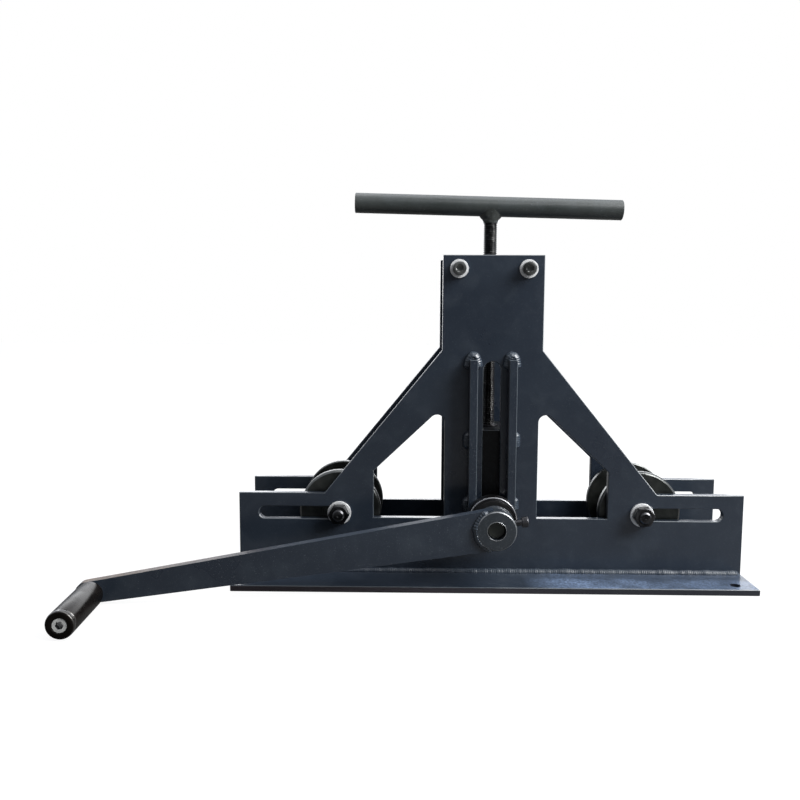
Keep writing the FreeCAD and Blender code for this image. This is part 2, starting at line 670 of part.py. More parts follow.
def make_bearings():
    """A sealed ball bearing on each end of the shaft, just outside the guide bars."""
    seals = []
    balls = []
    for face, start in (("front", "-" + BEARING_OUT), ("rear", BEARING_IN)):
        inner_edge = "(bearing_dia / 2 - bearing_ring)"
        node(turned(face + "_bearing_outer_ring", [
            (inner_edge, "0"), ("bearing_dia / 2 - bearing_break", "0"), ("bearing_dia / 2", "bearing_break"),
            ("bearing_dia / 2", "bearing_width - bearing_break"),
            ("bearing_dia / 2 - bearing_break", "bearing_width"), (inner_edge, "bearing_width")],
            ("0", start, AXLE_Z)))
        inner_outer = "(shaft_dia / 2 + bearing_ring)"
        node(turned(face + "_bearing_inner_ring", [
            ("shaft_dia / 2", "0"), (inner_outer, "0"), (inner_outer, "bearing_width"),
            ("shaft_dia / 2", "bearing_width")], ("0", start, AXLE_Z)))
        for number, offset in enumerate(("seal_sunk", "bearing_width - seal_sunk - seal_thick")):
            seals.append(ring("%s_seal_%d" % (face, number), "bearing_dia - 2 * bearing_ring",
                              "shaft_dia + 2 * bearing_ring + 2 * seal_clear", "seal_thick",
                              ("0", "%s + %s" % (start, offset), AXLE_Z)))
        for number in range(int(size("balls"))):
            ball = doc.addObject("Part::Sphere", "%s_ball_%d" % (face, number))
            bind(ball, {"Radius": "(bearing_dia - shaft_dia) / 4 - bearing_ring - ball_clear"})
            turn = "360 / balls * %d" % number
            pitch = "(bearing_dia + shaft_dia) / 4"
            place(ball, ("%s * cos(%s)" % (pitch, turn), "%s + bearing_width / 2" % start,
                         "%s + %s * sin(%s)" % (AXLE_Z, pitch, turn)))
            balls.append(ball)
    node(group("bearing_seals", seals))
    node(group("bearing_balls", balls))


# ---- drive shaft and drive roller ----

def make_shaft():
    """Plain shaft with three circlip grooves and a keyway."""
    front = "(-%s + shaft_recess)" % HUB_OUT
    rear = "(%s + clip_thick + shaft_stub)" % BEARING_OUT
    radius = "shaft_dia / 2"
    groove = "(shaft_dia / 2 - clip_groove)"
    seats = ("-" + BEARING_IN, "(%s - clip_thick)" % BEARING_IN, BEARING_OUT)
    profile = [("0", front), (radius + " - shaft_break", front), (radius, front + " + shaft_break")]
    for seat in seats:
        profile += [(radius, seat), (groove, seat), (groove, seat + " + clip_thick"), (radius, seat + " + clip_thick")]
    profile += [(radius, rear + " - shaft_break"), (radius + " - shaft_break", rear), ("0", rear)]
    blank = turned("shaft_blank", profile, ("0", "0", AXLE_Z))
    keyway = box("keyway", "key_size", "key_length", "key_size",
                 ("-key_size / 2", GROOVE_Y + " - key_length / 2", AXLE_Z + " + shaft_dia / 2 - key_sunk"))
    node(cut("drive_shaft", blank, keyway))
    clips = [ring("clip_%d" % number, "clip_dia", "2 * " + groove, "clip_thick", ("0", seat, AXLE_Z))
             for number, seat in enumerate(seats)]
    node(group("shaft_circlips", clips))
    node(box("roller_key", "key_size", "key_length", "key_size",
             ("-key_size / 2", GROOVE_Y + " - key_length / 2", AXLE_Z + " + shaft_dia / 2 - key_sunk")))


def make_roller(tag, x, width, flange, bore):
    """A core with a spigot at each end and a flange seated on each spigot."""
    start = "(%s - (%s) / 2)" % (GROOVE_Y, width)
    shoulder = "(%s) - (%s)" % (width, flange)
    core = [("(%s) / 2" % bore, "0"), ("spigot_dia / 2", "0"), ("spigot_dia / 2", flange), ("core_dia / 2", flange),
            ("core_dia / 2", shoulder), ("spigot_dia / 2", shoulder), ("spigot_dia / 2", width),
            ("(%s) / 2" % bore, width)]
    body = turned(tag + "_roller_core" if tag != "drive" else "drive_core_blank", core, (x, start, AXLE_Z))
    rim = "roller_dia / 2"
    for face, near, far in (("front", "0", flange), ("rear", width, shoulder)):
        step = "rim_chamfer" if face == "front" else "-rim_chamfer"
        profile = [("spigot_dia / 2", near), (rim + " - rim_chamfer", near), (rim, "%s + %s" % (near, step)),
                   (rim, "%s - %s / 2" % (far, step)), (rim + " - rim_chamfer / 2", far), ("spigot_dia / 2", far)]
        node(turned("%s_roller_%s_flange" % (tag, face), profile, (x, start, AXLE_Z)))
    return body


def make_drive_roller():
    core = make_roller("drive", "0", "drive_width", "drive_flange", "shaft_dia")
    keyway = box("core_keyway", "key_size", "drive_width", "key_size",
                 ("-key_size / 2", GROOVE_Y + " - drive_width / 2", AXLE_Z + " + shaft_dia / 2 - key_sunk"))
    node(cut("drive_roller_core", core, keyway))
    start = GROOVE_Y + " + drive_width / 2"
    node(ring("drive_spacer", "drive_spacer_dia", "shaft_dia", "%s - drive_end_clear - (%s)" % (CHEEK_IN, start),
              ("0", start, AXLE_Z)))


# ---- plain rollers on their sliding axles ----

def make_plain_roller(tag, sign):
    x = sign + "axle_span / 2"
    core = make_roller(tag, x, "roller_width", "flange_thick", "bush_dia")
    node(core)
    front = "(-plate_gap / 2 + roller_setback)"
    bushes = [ring(tag + "_bush_%d" % number, "bush_dia", "axle_dia + 2 * run_clear", "bush_length", (x, start, AXLE_Z))
              for number, start in enumerate((front, ROLLER_BACK + " - bush_length"))]
    node(group(tag + "_roller_bushes", bushes))

    head_seat = "(%s + axle_washer_thick)" % OUTER
    tip = "(-%s - axle_washer_thick - nut_height - axle_proud)" % OUTER
    shank = cylinder(tag + "_axle_shank", "axle_dia", "%s - %s - axle_break" % (head_seat, tip),
                     (x, tip + " + axle_break", AXLE_Z))
    point = cone(tag + "_axle_point", "axle_dia - 2 * axle_break", "axle_dia", "axle_break", (x, tip, AXLE_Z))
    head = hexagon(tag + "_axle_head", "nut_flats", "axle_head", (x, head_seat, AXLE_Z))
    node(fuse(tag + "_axle_bolt", shank, point, head))
    nut = hexagon(tag + "_nut_blank", "nut_flats", "nut_height",
                  (x, "-%s - axle_washer_thick - nut_height" % OUTER, AXLE_Z))
    hole = cylinder(tag + "_nut_hole", "axle_dia", "nut_height",
                    (x, "-%s - axle_washer_thick - nut_height" % OUTER, AXLE_Z))
    node(cut(tag + "_axle_nut", nut, hole))
    washers = [ring("%s_washer_%d" % (tag, number), "axle_washer", "axle_dia", "axle_washer_thick", (x, start, AXLE_Z))
               for number, start in enumerate(("-%s - axle_washer_thick" % OUTER, OUTER))]
    node(group(tag + "_axle_washers", washers))
    rear_length = "plate_gap / 2 - %s - side_clear" % ROLLER_BACK
    spacers = [ring(tag + "_front_spacer", "spacer_dia", "axle_dia", "roller_setback - side_clear",
                    (x, "-plate_gap / 2", AXLE_Z)),
               ring(tag + "_rear_spacer", "spacer_dia", "axle_dia", rear_length,
                    (x, ROLLER_BACK + " + side_clear", AXLE_Z))]
    node(group(tag + "_axle_spacers", spacers))


# ---- crank ----

def on_crank(label):
    """A body in the crank's own frame: hub centre at the origin, arm towards -X, hanging at rest."""
    body = new_body(label, ("0", "0", AXLE_Z), FreeCAD.Rotation(-Y_AXIS, 1))
    return bind(body, {"Placement.Rotation.Angle": CRANK_DROP})


def crank_sketch(body, name, role, along="0", out="0"):
    """A sketch in the leaning frame of the arm, moved along the arm and out from its front face."""
    sketch = new_sketch(body, name, role)
    axis = Z_AXIS if role == "XY_Plane" else Y_AXIS
    sketch.AttachmentOffset = FreeCAD.Placement(FreeCAD.Vector(), FreeCAD.Rotation(axis, 1))
    x = "(-(%s) * cos(crank_lean) + (%s) * sin(crank_lean))" % (along, out)
    y = "(-(%s) - (%s) * sin(crank_lean) - (%s) * cos(crank_lean))" % (ARM_FRONT, along, out)
    across = {"AttachmentOffset.Rotation.Angle": "crank_lean", "AttachmentOffset.Base.x": x}
    across["AttachmentOffset.Base.y" if role == "XY_Plane" else "AttachmentOffset.Base.z"] = (
        y if role == "XY_Plane" else "-" + y)
    return bind(sketch, across)


def crank_turned(label, profile, along):
    """A turned piece square to the leaning arm; the profile is (radius, place out from the arm)."""
    body = on_crank(label)
    flipped = [(radius, "-(%s)" % place_out) for radius, place_out in profile]
    sketch = outline(crank_sketch(body, label + "_profile", "XY_Plane", along), flipped)
    item = body.newObject("PartDesign::Revolution", label + "_turned")
    item.Profile = sketch
    item.ReferenceAxis = (sketch, ["V_Axis"])
    item.Angle = 360
    return body


def make_crank():
    """Hub tube on the shaft, tapered arm welded to it, and a free-turning grip at its end."""
    hub_blank = on_crank("hub_blank")
    half = "hub_dia / 2"
    sketch = outline(new_sketch(hub_blank, "hub_profile", "XY_Plane"), [
        ("shaft_dia / 2", "-" + HUB_IN), (half + " - hub_chamfer", "-" + HUB_IN),
        (half, "-%s - hub_chamfer" % HUB_IN), (half, "-%s + hub_chamfer" % HUB_OUT),
        (half + " - hub_chamfer", "-" + HUB_OUT), ("shaft_dia / 2 + hub_chamfer / 2", "-" + HUB_OUT),
        ("shaft_dia / 2", "-%s + hub_chamfer / 2" % HUB_OUT)])
    spin = hub_blank.newObject("PartDesign::Revolution", "hub_turned")
    spin.Profile = sketch
    spin.ReferenceAxis = (sketch, ["V_Axis"])
    spin.Angle = 360
    screw_hole = on_crank("set_screw_hole")
    hole = circle(new_sketch(screw_hole, "set_screw_circle", "YZ_Plane"), "-%s - set_screw_offset" % HUB_IN, "0",
                  "set_dia")
    pad(screw_hole, hole, "hub_dia")
    node(cut("crank_hub", hub_blank, screw_hole))
    node(ring("hub_spacer", "hub_spacer_dia", "shaft_dia", "hub_spacer", ("0", "-" + HUB_IN, AXLE_Z)))

    arm_blank = on_crank("arm_blank")
    end = "-(crank_length + arm_beyond)"
    shape = [("0", "-arm_root / 2"), ("0", "arm_root / 2"), (end, "arm_tip / 2"), (end, "-arm_tip / 2")]
    flat = pad(arm_blank, outline(crank_sketch(arm_blank, "arm_outline", "XZ_Plane"), shape), "arm_thick")
    flat.Reversed = True
    tip = pad(arm_blank, circle(crank_sketch(arm_blank, "arm_end", "XZ_Plane"), end, "0", "arm_tip"), "arm_thick")
    tip.Reversed = True
    bolt_room = crank_turned("bolt_room", [
        ("0", "-arm_thick"), ("bolt_dia / 2", "-arm_thick"), ("bolt_dia / 2", "grip_washer_thick"),
        ("0", "grip_washer_thick")], "crank_length")
    hub_room = on_crank("hub_room")
    pad(hub_room, circle(new_sketch(hub_room, "hub_circle", "XZ_Plane"), "0", "0", "hub_dia"),
        "%s + hub_length" % HUB_OUT)
    node(cut("crank_arm", arm_blank, hub_room, bolt_room))

    weld_blank = on_crank("weld_blank")
    reach = "(hub_dia / 2 + hub_weld)"
    inner = "(-%s + hub_weld_inset)" % HUB_OUT
    foot = "(%s + hub_weld * tan(crank_lean))" % ARM_FRONT
    sketch = outline(new_sketch(weld_blank, "weld_profile", "XY_Plane"), [
        ("-" + half, inner), ("-" + half, "-%s + arm_thick / 2" % ARM_FRONT),
        ("-" + reach, "-%s + arm_thick / 2" % ARM_FRONT), ("-" + reach, "-%s - hub_weld_toe" % foot)])
    sweep = weld_blank.newObject("PartDesign::Revolution", "weld_swept")
    sweep.Profile = sketch
    sweep.ReferenceAxis = (sketch, ["V_Axis"])
    bind(sweep, {"Angle": "hub_weld_sweep"})
    sweep.Midplane = True
    node(cut("crank_weld", weld_blank, arm_blank))

    reach_out = "(shaft_dia / 2 + set_screw_length)"
    seat = ("%s * cos(%s)" % (reach_out, CRANK_DROP), "-%s - set_screw_offset" % HUB_IN,
            "%s + %s * sin(%s)" % (AXLE_Z, reach_out, CRANK_DROP))
    set_screw = cap_screw("crank_set_screw", SET_SCREW, seat, FreeCAD.Rotation(Y_AXIS, 1))
    node(bind(set_screw, {"Placement.Rotation.Angle": "90 deg - " + CRANK_DROP}))


def make_grip():
    start = "grip_washer_thick"
    end = "(grip_washer_thick + grip_length)"
    seat = "(%s - grip_head_sunk - grip_head_height)" % end
    node(crank_turned("grip_washer_ring", [
        ("bolt_dia / 2", "0"), ("grip_washer / 2", "0"), ("grip_washer / 2", start), ("bolt_dia / 2", start)],
        "crank_length"))
    bore = "(grip_bolt_dia / 2 + grip_clear)"
    head_bore = "(grip_head / 2 + grip_head_clear)"
    rim = "grip_dia / 2"
    corner = "grip_round * (1 - cos(45))"
    floor = "(%s - grip_clear)" % seat
    gap = "(%s + grip_clear)" % start
    node(crank_turned("grip_sleeve", [
        (bore, gap), (rim + " - grip_round / 2", gap), (rim, gap + " + grip_round / 2"),
        (rim, end + " - grip_round"), (rim + " - " + corner, end + " - " + corner),
        (rim + " - grip_round", end), (head_bore, end), (head_bore, floor), (bore, floor)], "crank_length"))
    blank = crank_turned("grip_bolt_blank", [
        ("0", "-arm_thick"), ("bolt_dia / 2", "-arm_thick"), ("bolt_dia / 2", start),
        ("grip_bolt_dia / 2", start), ("grip_bolt_dia / 2", seat), ("grip_head / 2", seat),
        ("grip_head / 2", seat + " + grip_head_height"), ("0", seat + " + grip_head_height")], "crank_length")
    socket = on_crank("grip_socket")
    face = crank_sketch(socket, "socket_outline", "XZ_Plane", "crank_length", seat + " + grip_head_height")
    corners = [("cap_socket / 2 / cos(30) * cos(%d)" % turn, "cap_socket / 2 / cos(30) * sin(%d)" % turn)
               for turn in range(0, 360, 60)]
    deep = pad(socket, outline(face, corners), "cap_socket_depth")
    deep.Reversed = True
    node(cut("grip_bolt", blank, socket))


make_base()
make_side_plate("front_side_plate", "-plate_gap / 2")
make_side_plate("rear_side_plate", "plate_gap / 2 + plate_thick")
make_base_welds()
make_guide_bars()
make_guide_welds()
make_nut_block()
make_press_screw()
make_yoke()
make_bearings()
make_shaft()
make_drive_roller()
make_plain_roller("left", "-")
make_plain_roller("right", "")
make_crank()
make_grip()
doc.recompute()

for item in doc.Objects:
    if "Invalid" in item.State or "Error" in item.State:
        raise RuntimeError("%s did not recompute: %s" % (item.Label, item.State))
os.makedirs("parts", exist_ok=True)
for item in nodes:
    if item.Shape.isNull() or not item.Shape.isValid():
        raise RuntimeError(item.Label + " has no valid shape")
for item in nodes:
    item.Shape.exportStep("parts/%s.step" % item.Label)
print(len(nodes), "pieces written")
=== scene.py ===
import math
from functools import reduce

import bmesh
import bpy
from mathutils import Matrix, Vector
from mathutils import noise as turbulence


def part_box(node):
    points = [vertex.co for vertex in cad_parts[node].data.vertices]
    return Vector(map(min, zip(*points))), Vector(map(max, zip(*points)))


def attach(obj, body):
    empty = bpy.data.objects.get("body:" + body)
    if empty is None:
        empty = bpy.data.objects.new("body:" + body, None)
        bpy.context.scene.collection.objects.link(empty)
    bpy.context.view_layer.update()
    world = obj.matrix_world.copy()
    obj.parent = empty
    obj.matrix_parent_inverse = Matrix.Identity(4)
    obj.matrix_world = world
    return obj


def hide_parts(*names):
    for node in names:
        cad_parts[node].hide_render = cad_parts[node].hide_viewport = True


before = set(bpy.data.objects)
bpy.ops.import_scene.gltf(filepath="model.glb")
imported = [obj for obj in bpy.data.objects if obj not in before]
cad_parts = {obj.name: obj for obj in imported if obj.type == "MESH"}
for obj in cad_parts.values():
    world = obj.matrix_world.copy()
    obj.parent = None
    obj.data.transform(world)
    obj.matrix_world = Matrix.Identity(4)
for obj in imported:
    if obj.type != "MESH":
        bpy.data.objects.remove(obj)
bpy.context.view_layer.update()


# --------------------------------------
# Base and side plates
# Laser-cut steel plate, 8 mm for the sides and 6 mm for the base, cut, welded up and then
# powder coated. The coat is glossy with a slight orange peel; on the arrises it is thin and painted pale as
# painted highlight.

MM = 0.001
PAINT_COLOUR = (0.0165, 0.0240, 0.0375)
PAINT_PALE = (0.0250, 0.0350, 0.0510)
ARRIS_COLOUR = (0.085, 0.105, 0.125)
DUST_COLOUR = (0.16, 0.18, 0.20)
# Pale blue of the painted highlight on the base's right-hand margin.
PAINTED_HIGHLIGHT_ON_BASE = (0.180, 0.250, 0.390)
# Front edge of the base: a thin warm coat, with painted light at the left and painted shade at the right.
EDGE_PAINTED_LIGHTER_LEFT = (0.075, 0.058, 0.068)
EDGE_PAINTED_DARKER_RIGHT = (0.018, 0.018, 0.025)


def feed(tree, socket, value):
    """Links another node's output to a socket, or sets the socket to a plain value."""
    if isinstance(value, bpy.types.NodeSocket):
        tree.links.new(value, socket)
    else:
        socket.default_value = value


def add(tree, kind, inputs=None, **settings):
    """Adds a node; inputs maps a socket's name or number to a value or to another node's output."""
    made = tree.nodes.new(kind)
    for name, value in settings.items():
        setattr(made, name, value)
    for name, value in (inputs or {}).items():
        feed(tree, made.inputs[name], value)
    return made


def maths(tree, operation, *values):
    return add(tree, "ShaderNodeMath", dict(enumerate(values)), operation=operation).outputs[0]


def product(tree, *values):
    return reduce(lambda first, second: maths(tree, "MULTIPLY", first, second), values)


def total(tree, *values):
    return reduce(lambda first, second: maths(tree, "ADD", first, second), values)


def vectors(tree, operation, *values):
    made = add(tree, "ShaderNodeVectorMath", dict(enumerate(values)), operation=operation)
    return made.outputs["Value" if operation in ("LENGTH", "DOT_PRODUCT") else "Vector"]


def scaled(tree, vector, scale):
    return add(tree, "ShaderNodeVectorMath", {0: vector, "Scale": scale}, operation="SCALE").outputs[0]


def split(tree, vector):
    """A vector's three parts, by their letters."""
    return add(tree, "ShaderNodeSeparateXYZ", {0: vector}).outputs


def spread(tree, value, low, high, new_low, new_high):
    """Stretches a range of a noise to the range that the finish wants."""
    return add(tree, "ShaderNodeMapRange", {0: value, 1: low, 2: high, 3: new_low, 4: new_high}).outputs[0]


def noise(tree, place, scale, detail=2.0, distortion=0.0):
    return add(tree, "ShaderNodeTexNoise", {"Vector": place, "Scale": scale, "Detail": detail,
                                            "Distortion": distortion}).outputs[0]


def blend(tree, share, first, second):
    """Mixes two colours, each a plain one or another node's output."""
    made = add(tree, "ShaderNodeMix", {"Factor": share}, data_type="RGBA")
    for number, value in ((6, first), (7, second)):
        feed(tree, made.inputs[number], (*value, 1) if isinstance(value, tuple) else value)
    return made.outputs[2]


def add_bump(tree, shader, height, strength, distance, sockets=("Normal",)):
    bump = add(tree, "ShaderNodeBump", {"Strength": strength, "Distance": distance, "Height": height})
    for socket in sockets:
        tree.links.new(bump.outputs[0], shader.inputs[socket])


def new_finish(name, **sockets):
    """A material, its node tree, its shader and its object coordinates."""
    made = bpy.data.materials.new(name)
    made.use_nodes = True
    tree = made.node_tree
    shader = tree.nodes["Principled BSDF"]
    for socket, value in sockets.items():
        shader.inputs[socket.replace("_", " ")].default_value = value
    place = add(tree, "ShaderNodeTexCoord").outputs["Object"]
    return made, tree, shader, place


def opened(finish):
    """The tree, the shader, the object coordinates and the colour of a finish that gets one more layer."""
    tree = finish.node_tree
    shader = tree.nodes["Principled BSDF"]
    place = add(tree, "ShaderNodeTexCoord").outputs["Object"]
    return tree, shader, place, shader.inputs["Base Color"].links[0].from_socket


def powder_coat(name, colour, pale, rough, peel=0.35, dust=0.5, gloss=0.25):
    """Baked powder coat: slow changes of tone, orange peel about 2 mm across, rubbed places and dust."""
    made, tree, shader, place = new_finish(name, Coat_Weight=gloss, Coat_Roughness=0.10,
                                           Specular_IOR_Level=0.25 + gloss)
    tone = spread(tree, noise(tree, place, 11.0, 4.0), 0.35, 0.7, 0.0, 1.0)
    rubbed = spread(tree, noise(tree, place, 46.0, 5.0, distortion=0.6), 0.50, 0.78, 0.0, 1.0)
    speck = spread(tree, noise(tree, place, 1500.0, 0.0), 0.735, 0.80, 0.0, dust)
    colour = blend(tree, tone, colour, pale)
    colour = blend(tree, product(tree, rubbed, 0.16), colour, ARRIS_COLOUR)
    tree.links.new(blend(tree, speck, colour, DUST_COLOUR), shader.inputs["Base Color"])
    shade = total(tree, product(tree, rubbed, 0.10), spread(tree, tone, 0, 1, rough, rough + 0.06),
                  product(tree, speck, 0.3))
    tree.links.new(shade, shader.inputs["Roughness"])
    height = total(tree, noise(tree, place, 420.0, 1.5), product(tree, noise(tree, place, 90.0, 1.0), 1.6))
    add_bump(tree, shader, height, peel, 0.12 * MM, ("Normal", "Coat Normal"))
    return made


paint = powder_coat("powder_coat_blue_grey", PAINT_COLOUR, PAINT_PALE, 0.27)
# Arris coat: thin on the edges, and painted pale, which stands in for the highlights along them.
arris_coat_and_painted_highlight = powder_coat("powder_coat_thin_on_arris", (0.055, 0.069, 0.083), (0.095, 0.11, 0.125), 0.28,
                          peel=0.15)


def finish_piece(piece, slot_name, body, *stands_for):
    """Ties a finished piece to its body and hides the nodes that it stands for. The finish slot is not used.
    """
    if stands_for:
        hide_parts(*stands_for)
    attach(piece, body)


def link_new(name, data):
    """A new object in the scene."""
    made = bpy.data.objects.new(name, data)
    bpy.context.scene.collection.objects.link(made)
    return made


def new_piece(name, mesh, finishes):
    """A new object with its finishes, unless its mesh brings its own."""
    if not mesh.materials:
        for finish in finishes:
            mesh.materials.append(finish)
    return link_new(name, mesh)


def to_plain(piece):
    """Turns a piece's modifiers into plain mesh."""
    evaluated = piece.evaluated_get(bpy.context.evaluated_depsgraph_get())
    plain = bpy.data.meshes.new_from_object(evaluated)
    plain.name = piece.name
    piece.modifiers.clear()
    piece.data = plain
    return piece


def mesh_of(bm, name, sharp=None, outward=False):
    """A mesh from a bmesh; edges that turn more than sharp degrees are crisp."""
    if outward:
        bmesh.ops.recalc_face_normals(bm, faces=bm.faces)
    mesh = bpy.data.meshes.new(name)
    bm.to_mesh(mesh)
    bm.free()
    if sharp:
        mesh.set_sharp_from_angle(angle=math.radians(sharp))
    return mesh


def dressed(name, node, finishes, arris=0.0, choose=None, sharp=40):
    """A piece in the shape of its node, with whole flat faces and rounded arrises.
    The second finish goes on the arrises, or on the faces that choose(normal, centre) picks."""
    bm = bmesh.new()
    bm.from_mesh(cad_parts[node].data)
    bmesh.ops.remove_doubles(bm, verts=bm.verts, dist=2e-6)
    bmesh.ops.dissolve_limit(bm, angle_limit=math.radians(0.4), verts=bm.verts, edges=bm.edges)
    bm.normal_update()
    for face in bm.faces:
        face.smooth = True
        face.material_index = 1 if choose and choose(face.normal, face.calc_center_median()) else 0
    piece = new_piece(name, mesh_of(bm, name, sharp), finishes)
    if arris:
        bevel = piece.modifiers.new("arris", "BEVEL")
        bevel.width = arris
        bevel.segments = 2
        bevel.limit_method = "ANGLE"
        bevel.angle_limit = math.radians(sharp)
        bevel.material = 1 if len(finishes) > 1 and not choose else -1
    even = piece.modifiers.new("even_shading", "WEIGHTED_NORMAL")
    even.keep_sharp = True
    return to_plain(piece)


def dress(name, node, finishes, slot_name, body, **shape):
    """Dresses a node and ties the piece to its body."""
    finish_piece(dressed(name, node, finishes, **shape), slot_name, body, node)


def slanted(axis):
    """Picks the chamfer faces of a plate whose flat faces look along the axis."""
    return lambda normal, centre: 0.2 < abs(normal[axis]) < 0.97


for node in ("front_side_plate", "rear_side_plate"):
    dress(node + "_coated", node, [paint, arris_coat_and_painted_highlight], "frame_paint", "frame", choose=slanted(1), sharp=30)


def base_coat():
    """The coat of the base: a pale blue painted highlight lies on its up-facing right-hand margin, and the
    cut front edge is thin, with painted light to the left and painted shade to the right.
    """
    made = powder_coat("powder_coat_base", PAINT_COLOUR, PAINT_PALE, 0.34, peel=0.8)
    tree, shader, place, coat = opened(made)
    parts = split(tree, place)
    facing = split(tree, add(tree, "ShaderNodeNewGeometry").outputs["True Normal"])
    up = spread(tree, facing["Z"], 0.8, 0.95, 0.0, 1.0)
    # Painted highlight: up-facing faces from about 30 to 150 mm along X, towards the front, turn pale blue
    # with a cloudy grain.
    painted_highlight_patch = product(tree, spread(tree, parts["X"], 30 * MM, 65 * MM, 0.0, 1.0),
                     spread(tree, parts["X"], 110 * MM, 150 * MM, 1.0, 0.6),
                     spread(tree, parts["Y"], -60 * MM, -70 * MM, 0.35, 1.0))
    cloud = spread(tree, noise(tree, place, 38.0, 5.0), 0.36, 0.56, 0.45, 1.0)
    grain = spread(tree, noise(tree, place, 560.0, 2.0), 0.40, 0.60, 0.35, 1.0)
    front = product(tree, spread(tree, facing["Y"], -0.95, -0.8, 1.0, 0.0), 0.8)
    # The cut front edge: thin warm coat, painted lighter towards the left and darker towards the right as
    # painted light and shade.
    thin = blend(tree, spread(tree, parts["X"], -250 * MM, 100 * MM, 0.0, 1.0), EDGE_PAINTED_LIGHTER_LEFT, EDGE_PAINTED_DARKER_RIGHT)
    coat = blend(tree, front, coat, thin)
    coat = blend(tree, product(tree, up, painted_highlight_patch, cloud, grain), coat, PAINTED_HIGHLIGHT_ON_BASE)
    tree.links.new(coat, shader.inputs["Base Color"])
    return made


dress("base_plate_coated", "base_plate", [base_coat(), arris_coat_and_painted_highlight], "frame_paint", "frame",
      choose=slanted(2), sharp=30)


# --------------------------------------
# Welds at the foot of the side plates
# MIG fillet welds run along the outer foot of each plate, coated over. The bead is uneven, with
# fine ripples, and the coat pools on it.

BASE_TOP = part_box("base_plate")[1].z
PLATE_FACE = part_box("rear_side_plate")[1].y
PLATE_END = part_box("rear_side_plate")[1].x
FOOT_WELD = {"Leg": 4.9 * MM, "Sunk": 1.0 * MM, "Ripple": 1.9 * MM, "Uneven": 0.7 * MM}
BEAD_STEP = 0.5 * MM
BEAD_POINTS = 20
BEAD_END = 4 * MM


def new_tree(name, sockets):
    """A Geometry Nodes tree with the named inputs, and what those inputs give inside it."""
    tree = bpy.data.node_groups.new(name, "GeometryNodeTree")
    for label, kind in (("Geometry", "Geometry"), *sockets):
        tree.interface.new_socket(label, in_out="INPUT", socket_type="NodeSocket" + kind)
    tree.interface.new_socket("Geometry", in_out="OUTPUT", socket_type="NodeSocketGeometry")
    return tree, tree.nodes.new("NodeGroupInput").outputs


def close_tree(tree, geometry, finish):
    """Ends a tree with real geometry in its finish."""
    real = add(tree, "GeometryNodeRealizeInstances", {"Geometry": geometry}).outputs[0]
    done = add(tree, "GeometryNodeSetMaterial", {"Geometry": real, "Material": finish}).outputs[0]
    tree.links.new(done, tree.nodes.new("NodeGroupOutput").inputs[0])
    return tree


def run_tree(name, mesh, tree, values):
    """Runs a tree on a mesh, with a value for each of its inputs, and returns one plain piece."""
    piece = link_new(name, mesh)
    maker = piece.modifiers.new(tree.name, "NODES")
    maker.node_group = tree
    for item in tree.interface.items_tree:
        if item.in_out == "INPUT" and item.name in values:
            maker[item.identifier] = values[item.name]
    return to_plain(piece)


def captured(tree, geometry, **values):
    """Keeps values with the points of the geometry, each as an output under its own name."""
    made = add(tree, "GeometryNodeCaptureAttribute", {"Geometry": geometry}, domain="POINT")
    for label, value in values.items():
        made.capture_items.new("VECTOR" if value.type == "VECTOR" else "FLOAT", label)
        tree.links.new(value, made.inputs[label])
    return made.outputs


def sweep_tree(name, sizes, shape):
    """A Geometry Nodes tree that sweeps a closed section along the input's edges.
    Its Side input is one axis of the section. The shape function gives the offsets along both axes."""
    tree, given = new_tree(name, [("Side", "Vector"), ("Step", "Float"), ("Points", "Int"), ("Seed", "Float"),
                                  ("Finish", "Material"), *((size, "Float") for size in sizes)])
    path = add(tree, "GeometryNodeMeshToCurve", {"Mesh": given["Geometry"]}).outputs[0]
    path = add(tree, "GeometryNodeResampleCurve", {"Curve": path, "Length": given["Step"]}, mode="LENGTH")
    kept = captured(tree, path.outputs[0], spot=add(tree, "GeometryNodeInputPosition").outputs[0],
                    way=add(tree, "GeometryNodeInputTangent").outputs[0],
                    along=add(tree, "GeometryNodeSplineParameter").outputs["Length"],
                    whole=add(tree, "GeometryNodeSplineLength").outputs["Length"])
    circle = add(tree, "GeometryNodeCurvePrimitiveCircle",
                 {"Resolution": given["Points"], "Radius": 0.1 * MM}).outputs[0]
    around = captured(tree, circle, turn=add(tree, "GeometryNodeSplineParameter").outputs["Factor"])
    tube = add(tree, "GeometryNodeCurveToMesh",
               {"Curve": kept["Geometry"], "Profile Curve": around["Geometry"], "Fill Caps": True}).outputs[0]
    turn = maths(tree, "MULTIPLY", around["turn"], 2 * math.pi)
    ends = maths(tree, "MINIMUM", kept["along"], maths(tree, "SUBTRACT", kept["whole"], kept["along"]))
    out_side, out_across = shape(tree, given, kept["along"], turn, ends, kept["spot"])
    across = vectors(tree, "CROSS_PRODUCT", kept["way"], given["Side"])
    spot = vectors(tree, "ADD", kept["spot"], scaled(tree, given["Side"], out_side))
    spot = vectors(tree, "ADD", spot, scaled(tree, across, out_across))
    moved = add(tree, "GeometryNodeSetPosition", {"Geometry": tube, "Position": spot}).outputs[0]
    merged = add(tree, "GeometryNodeMergeByDistance", {"Geometry": moved, "Distance": 1e-6}).outputs[0]
    smooth = add(tree, "GeometryNodeSetShadeSmooth", {"Geometry": merged}).outputs[0]
    return close_tree(tree, smooth, given["Finish"])


